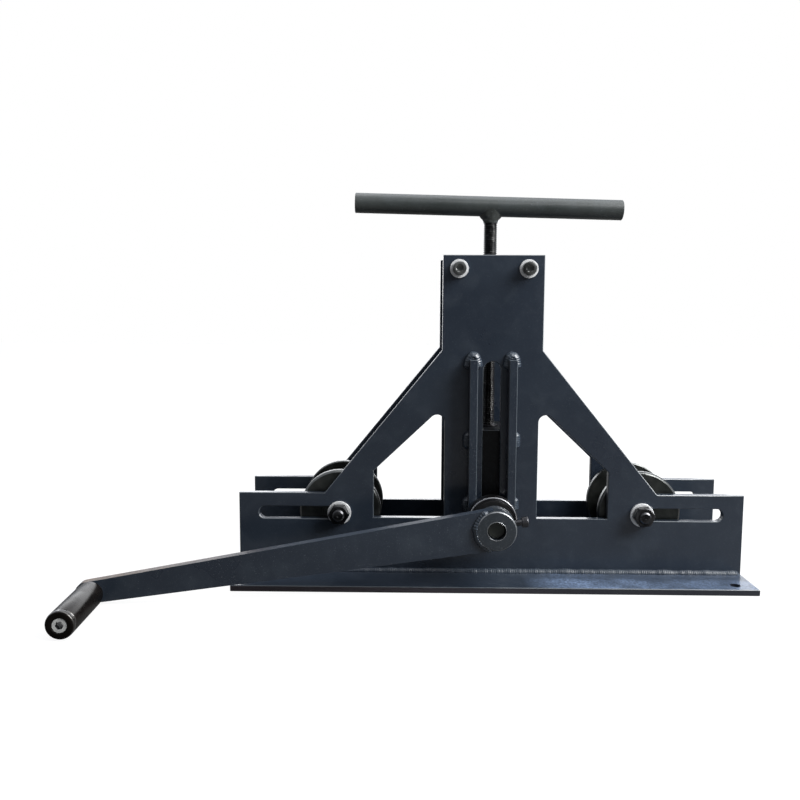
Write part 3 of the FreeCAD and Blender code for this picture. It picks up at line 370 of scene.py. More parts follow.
def fillet_section(tree, given, along, turn, ends, spot):
    """A bulging quarter section whose flat sides stand in the two plates that it joins."""
    ripple = maths(tree, "SINE", product(tree, maths(tree, "DIVIDE", along, given["Ripple"]), 2 * math.pi))
    shifted = vectors(tree, "ADD", spot, add(tree, "ShaderNodeCombineXYZ", {0: given["Seed"]}).outputs[0])
    slow = maths(tree, "SUBTRACT", noise(tree, shifted, 95.0, 3.0), 0.5)
    uneven = product(tree, slow, 3.4, given["Uneven"])
    lift = product(tree, ripple, 0.16, given["Uneven"])
    fade = maths(tree, "SQRT", spread(tree, ends, 0.0, BEAD_END, 0.05, 1.0))
    reach = product(tree, total(tree, uneven, lift, given["Leg"]), fade)
    bury = product(tree, given["Sunk"], -0.35)
    offsets = []
    for wave in ("COSINE", "SINE"):
        out = maths(tree, "SUBTRACT", product(tree, maths(tree, wave, turn), reach), given["Sunk"])
        offsets.append(maths(tree, "MAXIMUM", out, bury))
    return offsets


weld_tree = sweep_tree("weld_bead", ("Leg", "Sunk", "Ripple", "Uneven"), fillet_section)


def swept(name, tree, paths, side, finish, step, points, seed=0.0, **sizes):
    """Runs a sweep tree on the given paths, each a list of points."""
    spots = []
    edges = []
    for path in paths:
        first = len(spots)
        spots += path
        edges += [(first + n, first + n + 1) for n in range(len(path) - 1)]
    mesh = bpy.data.meshes.new(name)
    mesh.from_pydata(spots, edges, [])
    values = {"Side": side, "Step": step, "Points": points, "Seed": seed, "Finish": finish, **sizes}
    return run_tree(name, mesh, tree, values)


def weld_bead(name, paths, side, finish, seed, sizes):
    return swept(name, weld_tree, paths, side, finish, BEAD_STEP, BEAD_POINTS, seed=seed, **sizes)


def joined(name, pieces, outward=True):
    """One piece from several, with each one's finishes."""
    bm = bmesh.new()
    finishes = []
    for piece in pieces:
        start = len(bm.faces)
        bm.from_mesh(piece.data)
        bm.faces.ensure_lookup_table()
        for face in bm.faces[start:]:
            face.material_index += len(finishes)
        finishes += list(piece.data.materials)
        bpy.data.objects.remove(piece)
    return new_piece(name, mesh_of(bm, name, outward=outward), finishes)


# The bead coat is paler than the plates' coat, with more pale specks, as painted highlight on the beads.
weld_coat_pale_as_highlight = powder_coat("powder_coat_on_weld", PAINT_PALE, (0.050, 0.066, 0.086), 0.17, peel=1.0, dust=0.8)
foot_paint = powder_coat("powder_coat_on_foot_weld", PAINT_COLOUR, (0.036, 0.048, 0.064), 0.36, peel=0.8,
                         dust=0.7, gloss=0.10)
beads = []
for side in (-1, 1):
    foot = [Vector((end * (PLATE_END - MM), side * PLATE_FACE, BASE_TOP)) for end in (-side, side)]
    beads.append(weld_bead("foot_bead", [foot], (0, side, 0), foot_paint, 3.0 * side, FOOT_WELD))
finish_piece(joined("foot_welds", beads), "frame_paint", "frame", "base_welds")


# --------------------------------------
# Guide bars beside the shaft slots
# Two 8 x 15 mm flats stand on edge on each side plate. Each is welded over its rounded top, in two
# passes, and by short beads down its outer side, then coated with the rest.

RIB_WELD = {"Leg": 6.6 * MM, "Sunk": 1.1 * MM, "Ripple": 1.9 * MM, "Uneven": 0.9 * MM}
ARCH_FOOT = 7 * MM
ARCH_RISES = (9.6 * MM, 7.4 * MM)
ARCH_LEG = 4 * MM
ARCH_STEPS = 24
SIDE_BEADS = ((129.5, 148.5), (67.5, 83.5))


def arch(middle, half, y, top, rise):
    """The path of a bead over a bar's top, with a short leg down each side."""
    points = []
    for n in range(ARCH_STEPS + 1):
        turn = math.pi * n / ARCH_STEPS
        points.append(Vector((middle + half * math.cos(turn), y, top - ARCH_FOOT + rise * math.sin(turn))))
    leg = Vector((0, 0, ARCH_LEG))
    return [points[0] - leg, *points, points[-1] - leg]


beads = []
for face, out in (("front", -1), ("rear", 1)):
    for side in ("left", "right"):
        node = "%s_%s_guide_bar" % (face, side)
        dress(node + "_coated", node, [paint, arris_coat_and_painted_highlight], "frame_paint", "frame", arris=0.7 * MM)
        low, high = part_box(node)
        y = out * PLATE_FACE
        middle = (low.x + high.x) / 2
        paths = [arch(middle, (high.x - low.x) / 2, y, high.z, rise)[::-out] for rise in ARCH_RISES]
        edge = low.x if side == "left" else high.x
        upward = 1 if (side == "right") == (out < 0) else -1
        for ends in SIDE_BEADS:
            paths.append([Vector((edge, y, z * MM)) for z in ends][::upward])
        beads.append(weld_bead("bar_bead", paths, (0, out, 0), weld_coat_pale_as_highlight, middle * 100 + out, RIB_WELD))
finish_piece(joined("guide_bar_beads", beads), "frame_paint", "frame", "guide_bar_welds")


# --------------------------------------
# Nut block, its cap screws and washers
# A tapped steel block holds the two towers together. Four black M8 socket cap screws with bright
# zinc washers clamp it, two through each side plate.

CAP = {"head": 6.5 * MM, "tall": 8 * MM, "socket": 3 * MM, "deep": 4.5 * MM, "shank": 4 * MM, "knurls": 44}
CAP_LENGTH = 25 * MM
CAP_WASHER = {"outer": 9 * MM, "inner": 4.1 * MM}
KNURL_DEPTH = 0.22 * MM
ANY_TURN = 6.28  # radians, the most that a fixing is spun by chance


def turning_marks(tree, place, centre, axis, scale):
    """Height of fine lathe rings about the axis, on end faces and on round sides alike."""
    local = vectors(tree, "SUBTRACT", place, tuple(centre))
    across = tuple(0 if letter == axis else 1 for letter in "XYZ")
    radius = vectors(tree, "LENGTH", vectors(tree, "MULTIPLY", local, across))
    depth = maths(tree, "ADD", radius, split(tree, local)[axis])
    return add(tree, "ShaderNodeTexNoise", {"W": depth, "Scale": scale, "Detail": 3.0},
               noise_dimensions="1D").outputs[0]


def metal(name, colour, worn, rough, centre=(0, 0, 0), axis="Y", rings=1500.0, depth=0.25, metallic=1.0):
    """Bare or plated steel: lathe rings, a patchy film and scattered rubbed places."""
    made, tree, shader, place = new_finish(name, Metallic=metallic)
    marks = turning_marks(tree, place, centre, axis, rings)
    patch = spread(tree, noise(tree, place, 70.0, 5.0, distortion=0.4), 0.38, 0.68, 0.0, 1.0)
    grain = noise(tree, place, 1900.0, 2.0)
    colour = blend(tree, patch, colour, worn)
    colour = blend(tree, spread(tree, marks, 0.35, 0.65, 0.0, 0.22), colour, tuple(0.6 * c for c in worn))
    tree.links.new(colour, shader.inputs["Base Color"])
    shade = total(tree, spread(tree, patch, 0, 1, rough, rough + 0.1),
                  spread(tree, grain, 0.3, 0.7, -0.04, 0.06))
    tree.links.new(shade, shader.inputs["Roughness"])
    add_bump(tree, shader, total(tree, marks, product(tree, grain, 0.35)), depth, 0.06 * MM)
    return made


def angles(turns):
    return [2 * math.pi * n / turns for n in range(turns)]


def skin(bm, rings, picks=None):
    """Smooth faces from each ring of corners to the next; picks gives the finish of each band."""
    for band, (near, far) in enumerate(zip(rings, rings[1:])):
        for n in range(len(near)):
            after = (n + 1) % len(near)
            corners = list(dict.fromkeys((near[n], near[after], far[after], far[n])))
            if len(corners) > 2:
                face = bm.faces.new(corners)
                face.smooth = True
                face.material_index = picks[band] if picks else 0


def cap_ends(bm, rings):
    """Closes the first and the last ring of corners."""
    return [bm.faces.new(reversed(rings[0])), bm.faces.new(rings[-1])]


def lathe_mesh(name, profile, foot=(0, 0, 0), axis=(0, 0, 1), turns=96, picks=None):
    """A closed turned solid; the profile is (radius, place along the axis), outside and ends in one line."""
    axis = Vector(axis).normalized()
    side = axis.orthogonal().normalized()
    other = axis.cross(side)
    bm = bmesh.new()
    rings = []
    for radius, place in profile:
        middle = Vector(foot) + axis * place
        if radius == 0:
            rings.append([bm.verts.new(middle)] * turns)
            continue
        rings.append([bm.verts.new(middle + radius * (side * math.cos(a) + other * math.sin(a)))
                      for a in angles(turns)])
    if profile[0][0] > 0:
        rings.append(rings[0])
    skin(bm, rings, picks)
    return mesh_of(bm, name, sharp=30, outward=True)


def lathe(name, profile, foot, axis, finishes, **shape):
    return new_piece(name, lathe_mesh(name, profile, foot, axis, **shape), finishes)


def rounded(profile, radius, steps=3):
    """The profile with each of its corners rounded."""
    out = []
    count = len(profile)
    for n, here in enumerate(profile):
        before, after = profile[n - 1], profile[(n + 1) % count]
        here = Vector(here)
        to_before, to_after = Vector(before) - here, Vector(after) - here
        if here.x == 0 or to_before.length < 1e-9 or to_after.length < 1e-9:
            out.append(tuple(here))
            continue
        r = min(radius, 0.45 * to_before.length, 0.45 * to_after.length)
        a, b = here + to_before.normalized() * r, here + to_after.normalized() * r
        for step in range(steps + 1):
            t = step / steps
            out.append(tuple((1 - t) ** 2 * a + 2 * t * (1 - t) * here + t ** 2 * b))
    return out


def rod_profile(radius, start, end, edge):
    """The profile of a solid rod with rounded edges."""
    return rounded([(0, start), (radius, start), (radius, end), (0, end)], edge)


def hex_reach(flat, angle):
    """How far a hexagon reaches at an angle; flat is half its width over the flats."""
    return flat / math.cos((angle + math.pi / 6) % (math.pi / 3) - math.pi / 6)


def ring_mesh(name, levels, turns, sharp, loop=False):
    """A closed mesh about the Z axis; each level is z and a radius, or z and one radius for each corner.
    It is closed by flat ends, or runs round from the last level to the first."""
    bm = bmesh.new()
    rings = []
    for z, radii in levels:
        if not isinstance(radii, list):
            radii = [radii] * turns
        rings.append([bm.verts.new((r * math.cos(a), r * math.sin(a), z))
                      for r, a in zip(radii, angles(turns))])
    skin(bm, rings + rings[:1] if loop else rings)
    if not loop:
        cap_ends(bm, rings)
    return mesh_of(bm, name, sharp, outward=True)


def cap_screw_mesh(name, length, cap):
    """Socket head cap screw standing on the origin: knurled head along +Z, shank along -Z."""
    head, tall, socket, shank = cap["head"], cap["tall"], cap["socket"], cap["shank"]
    turns = cap["knurls"] * 4
    knurled = [head - (KNURL_DEPTH if n % 4 in (0, 1) else 0.0) for n in range(turns)]
    hexagon = [hex_reach(socket, a) for a in angles(turns)]
    bottom = tall - cap["deep"]
    levels = [(-length, shank - 0.8 * MM), (-length + 0.8 * MM, shank), (0, shank), (0, head - 0.3 * MM),
              (0.4 * MM, knurled), (tall - 1.3 * MM, knurled), (tall - 0.9 * MM, head),
              (tall - 0.25 * MM, head - 0.35 * MM), (tall, head - 1.0 * MM), (tall, socket * 1.22),
              (tall - 0.5 * MM, hexagon), (bottom, hexagon), (bottom - 0.8 * MM, 0.4 * MM)]
    return ring_mesh(name, levels, turns, 32)


def washer_mesh(name, outer, inner, thick):
    """A washer on the origin with rolled edges, along +Z."""
    return lathe_mesh(name, rounded([(inner, 0), (outer, 0), (outer, thick), (inner, thick)], 0.35 * MM))


def fixing_tree():
    """A Geometry Nodes tree that sets a master fixing on each point.
    It faces as the point says and is spun at random."""
    tree, given = new_tree("fixings", [("Master", "Object"), ("Spin", "Float"), ("Seed", "Int"),
                                       ("Finish", "Material")])
    points = add(tree, "GeometryNodeMeshToPoints", {"Mesh": given["Geometry"]}).outputs[0]
    master = add(tree, "GeometryNodeObjectInfo", {"Object": given["Master"]}).outputs["Geometry"]
    facing = add(tree, "GeometryNodeInputNamedAttribute", {"Name": "facing"},
                 data_type="FLOAT_VECTOR").outputs[0]
    turned = add(tree, "FunctionNodeAlignRotationToVector", {"Vector": facing}, axis="Z").outputs[0]
    chance = add(tree, "FunctionNodeRandomValue", {2: 0.0, 3: given["Spin"], "Seed": given["Seed"]},
                 data_type="FLOAT").outputs[1]
    spin = add(tree, "ShaderNodeCombineXYZ", {2: chance}).outputs[0]
    turned = add(tree, "FunctionNodeRotateRotation", {0: turned, 1: spin}, rotation_space="LOCAL").outputs[0]
    placed = add(tree, "GeometryNodeInstanceOnPoints",
                 {"Points": points, "Instance": master, "Rotation": turned}).outputs[0]
    return close_tree(tree, placed, given["Finish"])


fixings = fixing_tree()


def fixed(name, master_mesh, spots, finish, spin=0.0, seed=0):
    """Sets the master mesh on each (place, direction) and returns one plain piece."""
    master = new_piece(name + "_master", master_mesh, [finish])
    mesh = bpy.data.meshes.new(name)
    mesh.from_pydata([place for place, way in spots], [], [])
    facing = mesh.attributes.new("facing", "FLOAT_VECTOR", "POINT")
    for number, (place, way) in enumerate(spots):
        facing.data[number].vector = way
    piece = run_tree(name, mesh, fixings, {"Master": master, "Spin": spin, "Seed": seed, "Finish": finish})
    bpy.data.objects.remove(master)
    return piece


black_oxide = metal("black_oxide_steel", (0.026, 0.026, 0.029), (0.10, 0.10, 0.105), 0.29)
worn_oxide = metal("black_oxide_worn", (0.065, 0.068, 0.066), (0.20, 0.205, 0.20), 0.27, depth=0.6,
                   metallic=0.85)
zinc = metal("bright_zinc_plate", (0.97, 0.98, 0.99), (0.80, 0.81, 0.82), 0.24, rings=900.0, depth=0.9,
             metallic=0.15)

dress("nut_block_coated", "nut_block", [paint, arris_coat_and_painted_highlight], "frame_paint", "frame", arris=0.8 * MM)
screw_low, screw_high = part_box("nut_block_screws")
SCREW_X = (screw_high.x - screw_low.x) / 2 - CAP["head"]
SCREW_Z = (screw_high.z + screw_low.z) / 2
SCREW_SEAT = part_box("nut_block_washers")[1].y


def four_spots(seat):
    """A place and a direction for each of the four fixings, two on either side at the given seat."""
    return [((sx * SCREW_X, sy * seat, SCREW_Z), (0, sy, 0)) for sx in (-1, 1) for sy in (-1, 1)]


screws = fixed("nut_block_cap_screws", cap_screw_mesh("cap_screw", CAP_LENGTH, CAP), four_spots(SCREW_SEAT),
               worn_oxide, spin=ANY_TURN, seed=4)
finish_piece(screws, "black_oxide", "frame", "nut_block_screws")
washer = washer_mesh("washer_m8", thick=SCREW_SEAT - PLATE_FACE, **CAP_WASHER)
washers = fixed("nut_block_bright_washers", washer, four_spots(PLATE_FACE), zinc)
finish_piece(washers, "zinc_plate", "frame", "nut_block_washers")


# --------------------------------------
# Press screw and cross bar
# M14 black threaded rod with a turned lower end, and a 20 mm bar welded across its top as a
# handle. The weld flares up from the thread to the bar. The bar is coated and its coat is worn dull.

SCREW = {"Radius": 7.0 * MM, "Pitch": 2.0 * MM, "Depth": 1.15 * MM}
THREAD_RINGS = 8
THREAD_POINTS = 40
JOURNAL_RADIUS = 5 * MM
JOURNAL_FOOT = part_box("press_screw")[0].z
SCREW_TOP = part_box("press_screw")[1].z - 2 * MM
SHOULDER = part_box("thrust_washer")[1].z
BAR_RADIUS = 10 * MM
BAR_Z = (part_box("cross_bar")[0].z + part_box("cross_bar")[1].z) / 2
BAR_WELD = {"along": 12.4 * MM, "across": 9.8 * MM, "tall": 6.6 * MM, "toe": 1.0 * MM, "lumps": 0.8 * MM}
UP = (0, 0, 1)


def thread_section(tree, given, along, turn, ends, spot):
    """A round section whose radius follows the thread's V as it winds along."""
    wound = maths(tree, "SUBTRACT", maths(tree, "DIVIDE", along, given["Pitch"]),
                  maths(tree, "DIVIDE", turn, 2 * math.pi))
    cut = spread(tree, maths(tree, "PINGPONG", wound, 0.5), 0.06, 0.44, 0.0, 1.0)
    run_out = spread(tree, ends, 0.0, 1.2 * MM, 1.0, 0.0)
    cut = maths(tree, "MAXIMUM", cut, run_out)
    radius = maths(tree, "SUBTRACT", given["Radius"], product(tree, cut, given["Depth"]))
    return [product(tree, maths(tree, wave, turn), radius) for wave in ("COSINE", "SINE")]


thread_tree = sweep_tree("screw_thread", ("Radius", "Pitch", "Depth"), thread_section)


def threaded(start, end, finish, sizes):
    """A threaded rod from one place to another."""
    path = [Vector(start), Vector(end)]
    step = sizes["Pitch"] / THREAD_RINGS
    return swept("thread", thread_tree, [path], (1, 0, 0), finish, step, THREAD_POINTS, **sizes)


def threaded_steel(name, radius, depth):
    """Black rod whose thread crests are painted pale, partly as rubbed wear and partly as painted highlight;
    the rod stands on the Z axis.
    """
    made = metal(name, (0.022, 0.023, 0.026), (0.080, 0.078, 0.075), 0.18, axis="Z", depth=0.6)
    tree, shader, place, black = opened(made)
    out = vectors(tree, "LENGTH", vectors(tree, "MULTIPLY", place, (1, 1, 0)))
    crest = spread(tree, out, radius - 0.45 * depth, radius - 0.1 * depth, 0.0, 1.0)
    # Pale crests: rubbed wear and painted highlight.
    rubbed = product(tree, crest, spread(tree, noise(tree, place, 300.0, 2.0), 0.48, 0.64, 0.0, 0.8))
    tree.links.new(blend(tree, rubbed, black, (0.20, 0.20, 0.195)), shader.inputs["Base Color"])
    return made


def flare_mesh(name, low_z, sizes, turns=96, levels=22):
    """A weld that flares up from the screw and wraps the underside of the bar, with slow lumps."""
    bm = bmesh.new()
    rings = []
    foot = SCREW["Radius"] + 0.2 * MM
    for level in range(levels + 1):
        rise = level / levels
        swell = sizes["lumps"] * math.sin(math.pi * rise)
        ring = []
        for turn in angles(turns):
            way = Vector((math.cos(turn), math.sin(turn), 0))
            reach = sizes["along"] * way.x ** 2 + sizes["across"] * way.y ** 2
            radius = foot + (reach - foot) * rise ** 1.7
            radius += swell * turbulence.noise(Vector((way.x, way.y, 2 * rise)) * 1.7)
            y = radius * way.y
            wrap = BAR_RADIUS
            if abs(y) < BAR_RADIUS:
                wrap -= math.sqrt(BAR_RADIUS ** 2 - y ** 2)
            z = low_z + rise * (sizes["tall"] + wrap + sizes["toe"])
            ring.append(bm.verts.new((radius * way.x, y, z)))
        rings.append(ring)
    skin(bm, rings)
    bmesh.ops.triangulate(bm, faces=cap_ends(bm, rings))
    return mesh_of(bm, name, outward=True)


thread_black = threaded_steel("black_threaded_rod", SCREW["Radius"], SCREW["Depth"])
rod = threaded((0, 0, SHOULDER), (0, 0, SCREW_TOP), thread_black, SCREW)
journal = lathe("journal", rod_profile(JOURNAL_RADIUS, JOURNAL_FOOT, SHOULDER + MM, 0.5 * MM), (0, 0, 0), UP,
                [thread_black], turns=64)
finish_piece(joined("press_screw_threaded", [rod, journal]), "black_oxide", "press_screw", "press_screw")

bar_paint = powder_coat("powder_coat_handled", (0.028, 0.035, 0.034), (0.052, 0.060, 0.058), 0.40, peel=0.8,
                        dust=0.8)
dress("cross_bar_coated", "cross_bar", [bar_paint], "frame_paint", "press_screw")

flare_paint = powder_coat("powder_coat_on_flare", (0.022, 0.026, 0.024), (0.052, 0.058, 0.054), 0.20,
                          peel=1.0, dust=0.9)
flare = flare_mesh("cross_bar_bead", BAR_Z - BAR_RADIUS - BAR_WELD["tall"], BAR_WELD)
flare = new_piece("cross_bar_bead", flare, [flare_paint])
finish_piece(flare, "frame_paint", "press_screw", "cross_bar_weld")

# The thrust washer's steel is dark, as painted shade where it sits in the slot under the screw.
ground_steel_in_painted_shade = metal("oiled_ground_steel", (0.10, 0.10, 0.105), (0.05, 0.05, 0.052), 0.26, axis="Z")
dress("thrust_washer_bright", "thrust_washer", [ground_steel_in_painted_shade], "zinc_plate", "press_screw", arris=0.3 * MM)
dress("end_collar_black", "screw_end_collar", [thread_black], "black_oxide", "press_screw", arris=0.4 * MM)


# --------------------------------------
# Yoke
# Two coated cheeks screwed to a head block slide between the side plates. The screw pushes on the
# block, and bronze bushes in the cheeks carry the drive shaft.

# The yoke's coat is near black, as painted shade where it sits between the plates behind the slot.
yoke_coat_in_painted_shade = powder_coat("powder_coat_yoke", (0.0025, 0.0028, 0.0034), (0.0050, 0.0055, 0.0065), 0.46,
                         peel=0.4, dust=0.2, gloss=0.02)
bronze = metal("sintered_bronze", (0.32, 0.19, 0.075), (0.20, 0.12, 0.05), 0.36, depth=0.3)
for node in ("yoke_head", "yoke_front_cheek", "yoke_rear_cheek"):
    dress(node + "_coated", node, [yoke_coat_in_painted_shade, arris_coat_and_painted_highlight], "frame_paint", "yoke", arris=0.5 * MM)
dress("yoke_countersunk_screws", "yoke_screws", [black_oxide], "black_oxide", "yoke", arris=0.15 * MM)
dress("shaft_bushes_bronze", "shaft_bushes", [bronze], "bronze", "yoke", arris=0.2 * MM)


# --------------------------------------
# Shaft bearings
# Sealed ball bearings, 47 mm across. The outer ring's face is painted dark as shade from the hub, its ground
# edges are bright, and the seal is black rubber let in between the rings, with a moulded groove.

AXIS_Z = (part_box("drive_shaft")[0].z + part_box("drive_shaft")[1].z) / 2
SHAFT_AXIS = (0, 0, AXIS_Z)
SEAL_IN = 11.9 * MM
SEAL_OUT = (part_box("bearing_seals")[1].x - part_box("bearing_seals")[0].x) / 2
SEAL_PROFILE = [(SEAL_IN, 0.5), (SEAL_IN + 0.8 * MM, 0.5), (SEAL_IN + 1.5 * MM, 0.9),
                (SEAL_IN + 2.2 * MM, 0.9), (SEAL_IN + 2.8 * MM, 0.55), (SEAL_OUT - 1.2 * MM, 0.55),
                (SEAL_OUT - 0.8 * MM, 0.8), (SEAL_OUT, 0.8), (SEAL_OUT, 1.7), (SEAL_IN, 1.7)]


def rubber(name, colour, rough):
    """Moulded rubber with a fine grain and a bloom of dust."""
    made, tree, shader, place = new_finish(name, Specular_IOR_Level=0.4)
    bloom = spread(tree, noise(tree, place, 120.0, 5.0), 0.4, 0.7, 0.0, 1.0)
    tree.links.new(blend(tree, bloom, colour, tuple(c * 1.9 for c in colour)), shader.inputs["Base Color"])
    tree.links.new(spread(tree, bloom, 0, 1, rough, rough + 0.14), shader.inputs["Roughness"])
    add_bump(tree, shader, noise(tree, place, 2600.0, 1.0), 0.3, 0.05 * MM)
    return made


bearing_steel = metal("bearing_steel", (0.55, 0.55, 0.56), (0.40, 0.40, 0.41), 0.16, SHAFT_AXIS, rings=2200.0,
                      depth=0.12)
# The outer ring's face is painted dark as shade from the hub; only its bevelled edges are bright.
ring_face_in_painted_shade = metal("bearing_face_oiled", (0.045, 0.045, 0.048), (0.09, 0.09, 0.095), 0.34, SHAFT_AXIS,
                   rings=2200.0, depth=0.12)
seal_rubber = rubber("seal_rubber_black", (0.004, 0.004, 0.0045), 0.50)
for face in ("front", "rear"):
    node = face + "_bearing_outer_ring"
    dress(node + "_ground", node, [ring_face_in_painted_shade, bearing_steel], "ground_steel", "yoke", arris=0.5 * MM)
    node = face + "_bearing_inner_ring"
    dress(node + "_ground", node, [bearing_steel], "ground_steel", "drive", arris=0.4 * MM)
dress("bearing_balls_ground", "bearing_balls", [bearing_steel], "ground_steel", "yoke")

seals = []
bearing_low, bearing_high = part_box("rear_bearing_outer_ring")
for mouth, into in ((bearing_low.y, 1), (bearing_high.y, -1)):
    for side in (-1, 1):
        seals.append(lathe("seal", [(radius, depth * MM) for radius, depth in SEAL_PROFILE],
                           (0, side * mouth, AXIS_Z), (0, side * into, 0), [seal_rubber]))
finish_piece(joined("bearing_seals_moulded", seals, outward=False), "seal_rubber", "yoke", "bearing_seals")


# --------------------------------------
# Drive shaft, drive roller and what is on the shaft
# Ground 17 mm shaft, keyed to the drive roller, with black circlips and spacers. The roller has a
# turned core and two turned flanges.

FLANGE_RIM = 38 * MM

shaft_steel = metal("ground_shaft_steel", (0.36, 0.36, 0.37), (0.18, 0.18, 0.19), 0.22, SHAFT_AXIS,
                    rings=2400.0)
shaft_end = metal("sawn_shaft_end", (0.036, 0.041, 0.036), (0.060, 0.066, 0.056), 0.42, SHAFT_AXIS, depth=0.5,
                  metallic=0.3)
dress("drive_shaft_ground", "drive_shaft", [shaft_steel, shaft_end], "ground_steel", "drive", arris=0.2 * MM,
      choose=lambda normal, centre: abs(normal.y) > 0.95)
dress("roller_key_ground", "roller_key", [shaft_steel], "ground_steel", "drive", arris=0.3 * MM)
dress("shaft_circlips_black", "shaft_circlips", [black_oxide], "black_oxide", "drive", arris=0.15 * MM)
for node in ("hub_spacer", "drive_spacer"):
    dress(node + "_black", node, [black_oxide], "black_oxide", "drive", arris=0.5 * MM)


def on_rim(axis_place):
    """Picks the rim of a flange and its chamfers."""
    def choose(normal, centre):
        radius = math.hypot(centre.x - axis_place[0], centre.z - axis_place[2])
        return radius > FLANGE_RIM and abs(normal.y) < 0.95
    return choose


def make_roller(tag, axis_place, body):
    """A roller of a dark turned core and two flanges whose rims are brighter, partly rubbed and partly
    painted highlight.
    """
    dark = metal("roller_steel_dark_" + tag, (0.040, 0.044, 0.042), (0.085, 0.090, 0.084), 0.34, axis_place,
                 rings=1300.0, depth=0.5, metallic=0.9)
    # Rim finish: rubbed steel, and painted highlight along the rims.
    bright = metal("roller_steel_bright_" + tag, (0.085, 0.088, 0.086), (0.16, 0.165, 0.16), 0.26, axis_place,
                   depth=0.3)
    for face in ("front", "rear"):
        node = "%s_roller_%s_flange" % (tag, face)
        dress(node + "_turned", node, [dark, bright], "roller_steel", body,
              choose=on_rim(axis_place), sharp=30)
    node = tag + "_roller_core"
    dress(node + "_turned", node, [dark], "roller_steel", body, arris=0.4 * MM)


make_roller("drive", SHAFT_AXIS, "drive")


# --------------------------------------
# Plain rollers on their sliding axles
# Turned rollers with bronze bushes run on M12 bolts that slide along the slots. Black bolts and
# nuts bear on bright zinc washers.

HEX_FLATS = 18 * MM
HEX_TURNS = 96
CORNER_SLOPE = math.tan(math.radians(28))
NUT_BORE = 5.6 * MM
NUT_LEAD = 0.9 * MM
AXLE_THREAD = {"Radius": 6.0 * MM, "Pitch": 1.75 * MM, "Depth": 1.0 * MM}
AXLE_WASHER_BORE = 6.2 * MM
THREAD_LONG = 30 * MM
BOLT_POINT = [(0, 0.5), (0.5, 0.35), (0.8, 0.02), (1.0, 0), (4.3, 0), (4.6, 0.15), (5.7, 1.2), (5.7, 1.9),
              (4.9, 2.4), (0, 2.4)]
POINT_PICKS = (0, 0, 0, 0, 1, 1, 0, 0, 0)


def hex_mesh(name, flats, height, bore=0):
    """A hexagon along +Z with turned corners: a nut with a bore, or a bolt head with a flat foot."""
    flat = flats / 2
    corner = flat / math.cos(math.pi / 6)
    inner = 0.97 * flat
    cones = [inner + share * (corner - inner) for share in (0.0, 0.25, 0.5, 0.75, 1.0)]
    foot = [((cone - inner) * CORNER_SLOPE, cone) for cone in cones] if bore else [(0.0, corner)]
    top = [(height - (cone - inner) * CORNER_SLOPE, cone) for cone in reversed(cones)]
    levels = [(z, [min(hex_reach(flat, a), cone) for a in angles(HEX_TURNS)]) for z, cone in foot + top]
    if bore:
        mouth = bore + NUT_LEAD
        levels += [(height, mouth), (height - NUT_LEAD, bore), (NUT_LEAD, bore), (0, mouth)]
    return ring_mesh(name, levels, HEX_TURNS, 20, loop=bore > 0)


nut_steel = metal("oiled_black_nut_steel", (0.022, 0.022, 0.024), (0.085, 0.085, 0.088), 0.25, rings=1100.0,
                  depth=0.5)
turned_end = metal("turned_bolt_end", (0.11, 0.11, 0.115), (0.05, 0.05, 0.052), 0.20, rings=1100.0, depth=0.4)
for tag, side in (("left", -1), ("right", 1)):
    low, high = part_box(tag + "_axle_bolt")
    x = (low.x + high.x) / 2
    make_roller(tag, (x, 0, AXIS_Z), tag + "_roller")
    dress(tag + "_bushes_bronze", tag + "_roller_bushes", [bronze], "bronze", tag + "_roller", arris=0.2 * MM)
    carriage = tag + "_carriage"
    nut_low, nut_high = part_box(tag + "_axle_nut")
    washer_low, washer_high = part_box(tag + "_axle_washers")
    nut = fixed(tag + "_axle_nut_black", hex_mesh("nut_m12", HEX_FLATS, nut_high.y - nut_low.y, NUT_BORE),
                [((x, nut_high.y, AXIS_Z), (0, -1, 0))], nut_steel, spin=ANY_TURN, seed=11 + side)
    finish_piece(nut, "black_oxide", carriage, tag + "_axle_nut")
    head = fixed("head", hex_mesh("head_m12", HEX_FLATS, high.y - washer_high.y),
                 [((x, washer_high.y, AXIS_Z), (0, 1, 0))], nut_steel, spin=ANY_TURN, seed=5 + side)
    thread = threaded((x, low.y + MM, AXIS_Z), (x, low.y + THREAD_LONG, AXIS_Z), black_oxide, AXLE_THREAD)
    point = lathe("point", [(r * MM, d * MM) for r, d in BOLT_POINT], (x, low.y, AXIS_Z), (0, 1, 0),
                  [nut_steel, turned_end], picks=POINT_PICKS)
    shank = rod_profile(AXLE_THREAD["Radius"], low.y + THREAD_LONG - MM, washer_high.y + MM, 0.4 * MM)
    shank = lathe("shank", shank, (x, 0, AXIS_Z), (0, 1, 0), [shaft_steel])
    bolt = joined(tag + "_axle_bolt_black", [head, thread, point, shank])
    finish_piece(bolt, "black_oxide", carriage, tag + "_axle_bolt")
    washer = washer_mesh("washer_m12", (washer_high.x - washer_low.x) / 2, AXLE_WASHER_BORE,
                         washer_high.y - PLATE_FACE)
    washers = fixed(tag + "_axle_washers_bright", washer,
                    [((x, out * PLATE_FACE, AXIS_Z), (0, out, 0)) for out in (-1, 1)], zinc)
    finish_piece(washers, "zinc_plate", carriage, tag + "_axle_washers")
    dress(tag + "_axle_spacers_black", tag + "_axle_spacers", [black_oxide], "black_oxide", carriage,
          arris=0.3 * MM)


# --------------------------------------
# Crank
# A flat tapered arm is welded to a turned hub, which a cap screw clamps to the shaft. Hub, weld and
# arm are coated together; the hub's edges and the rim of its bore are painted bright as painted highlight.

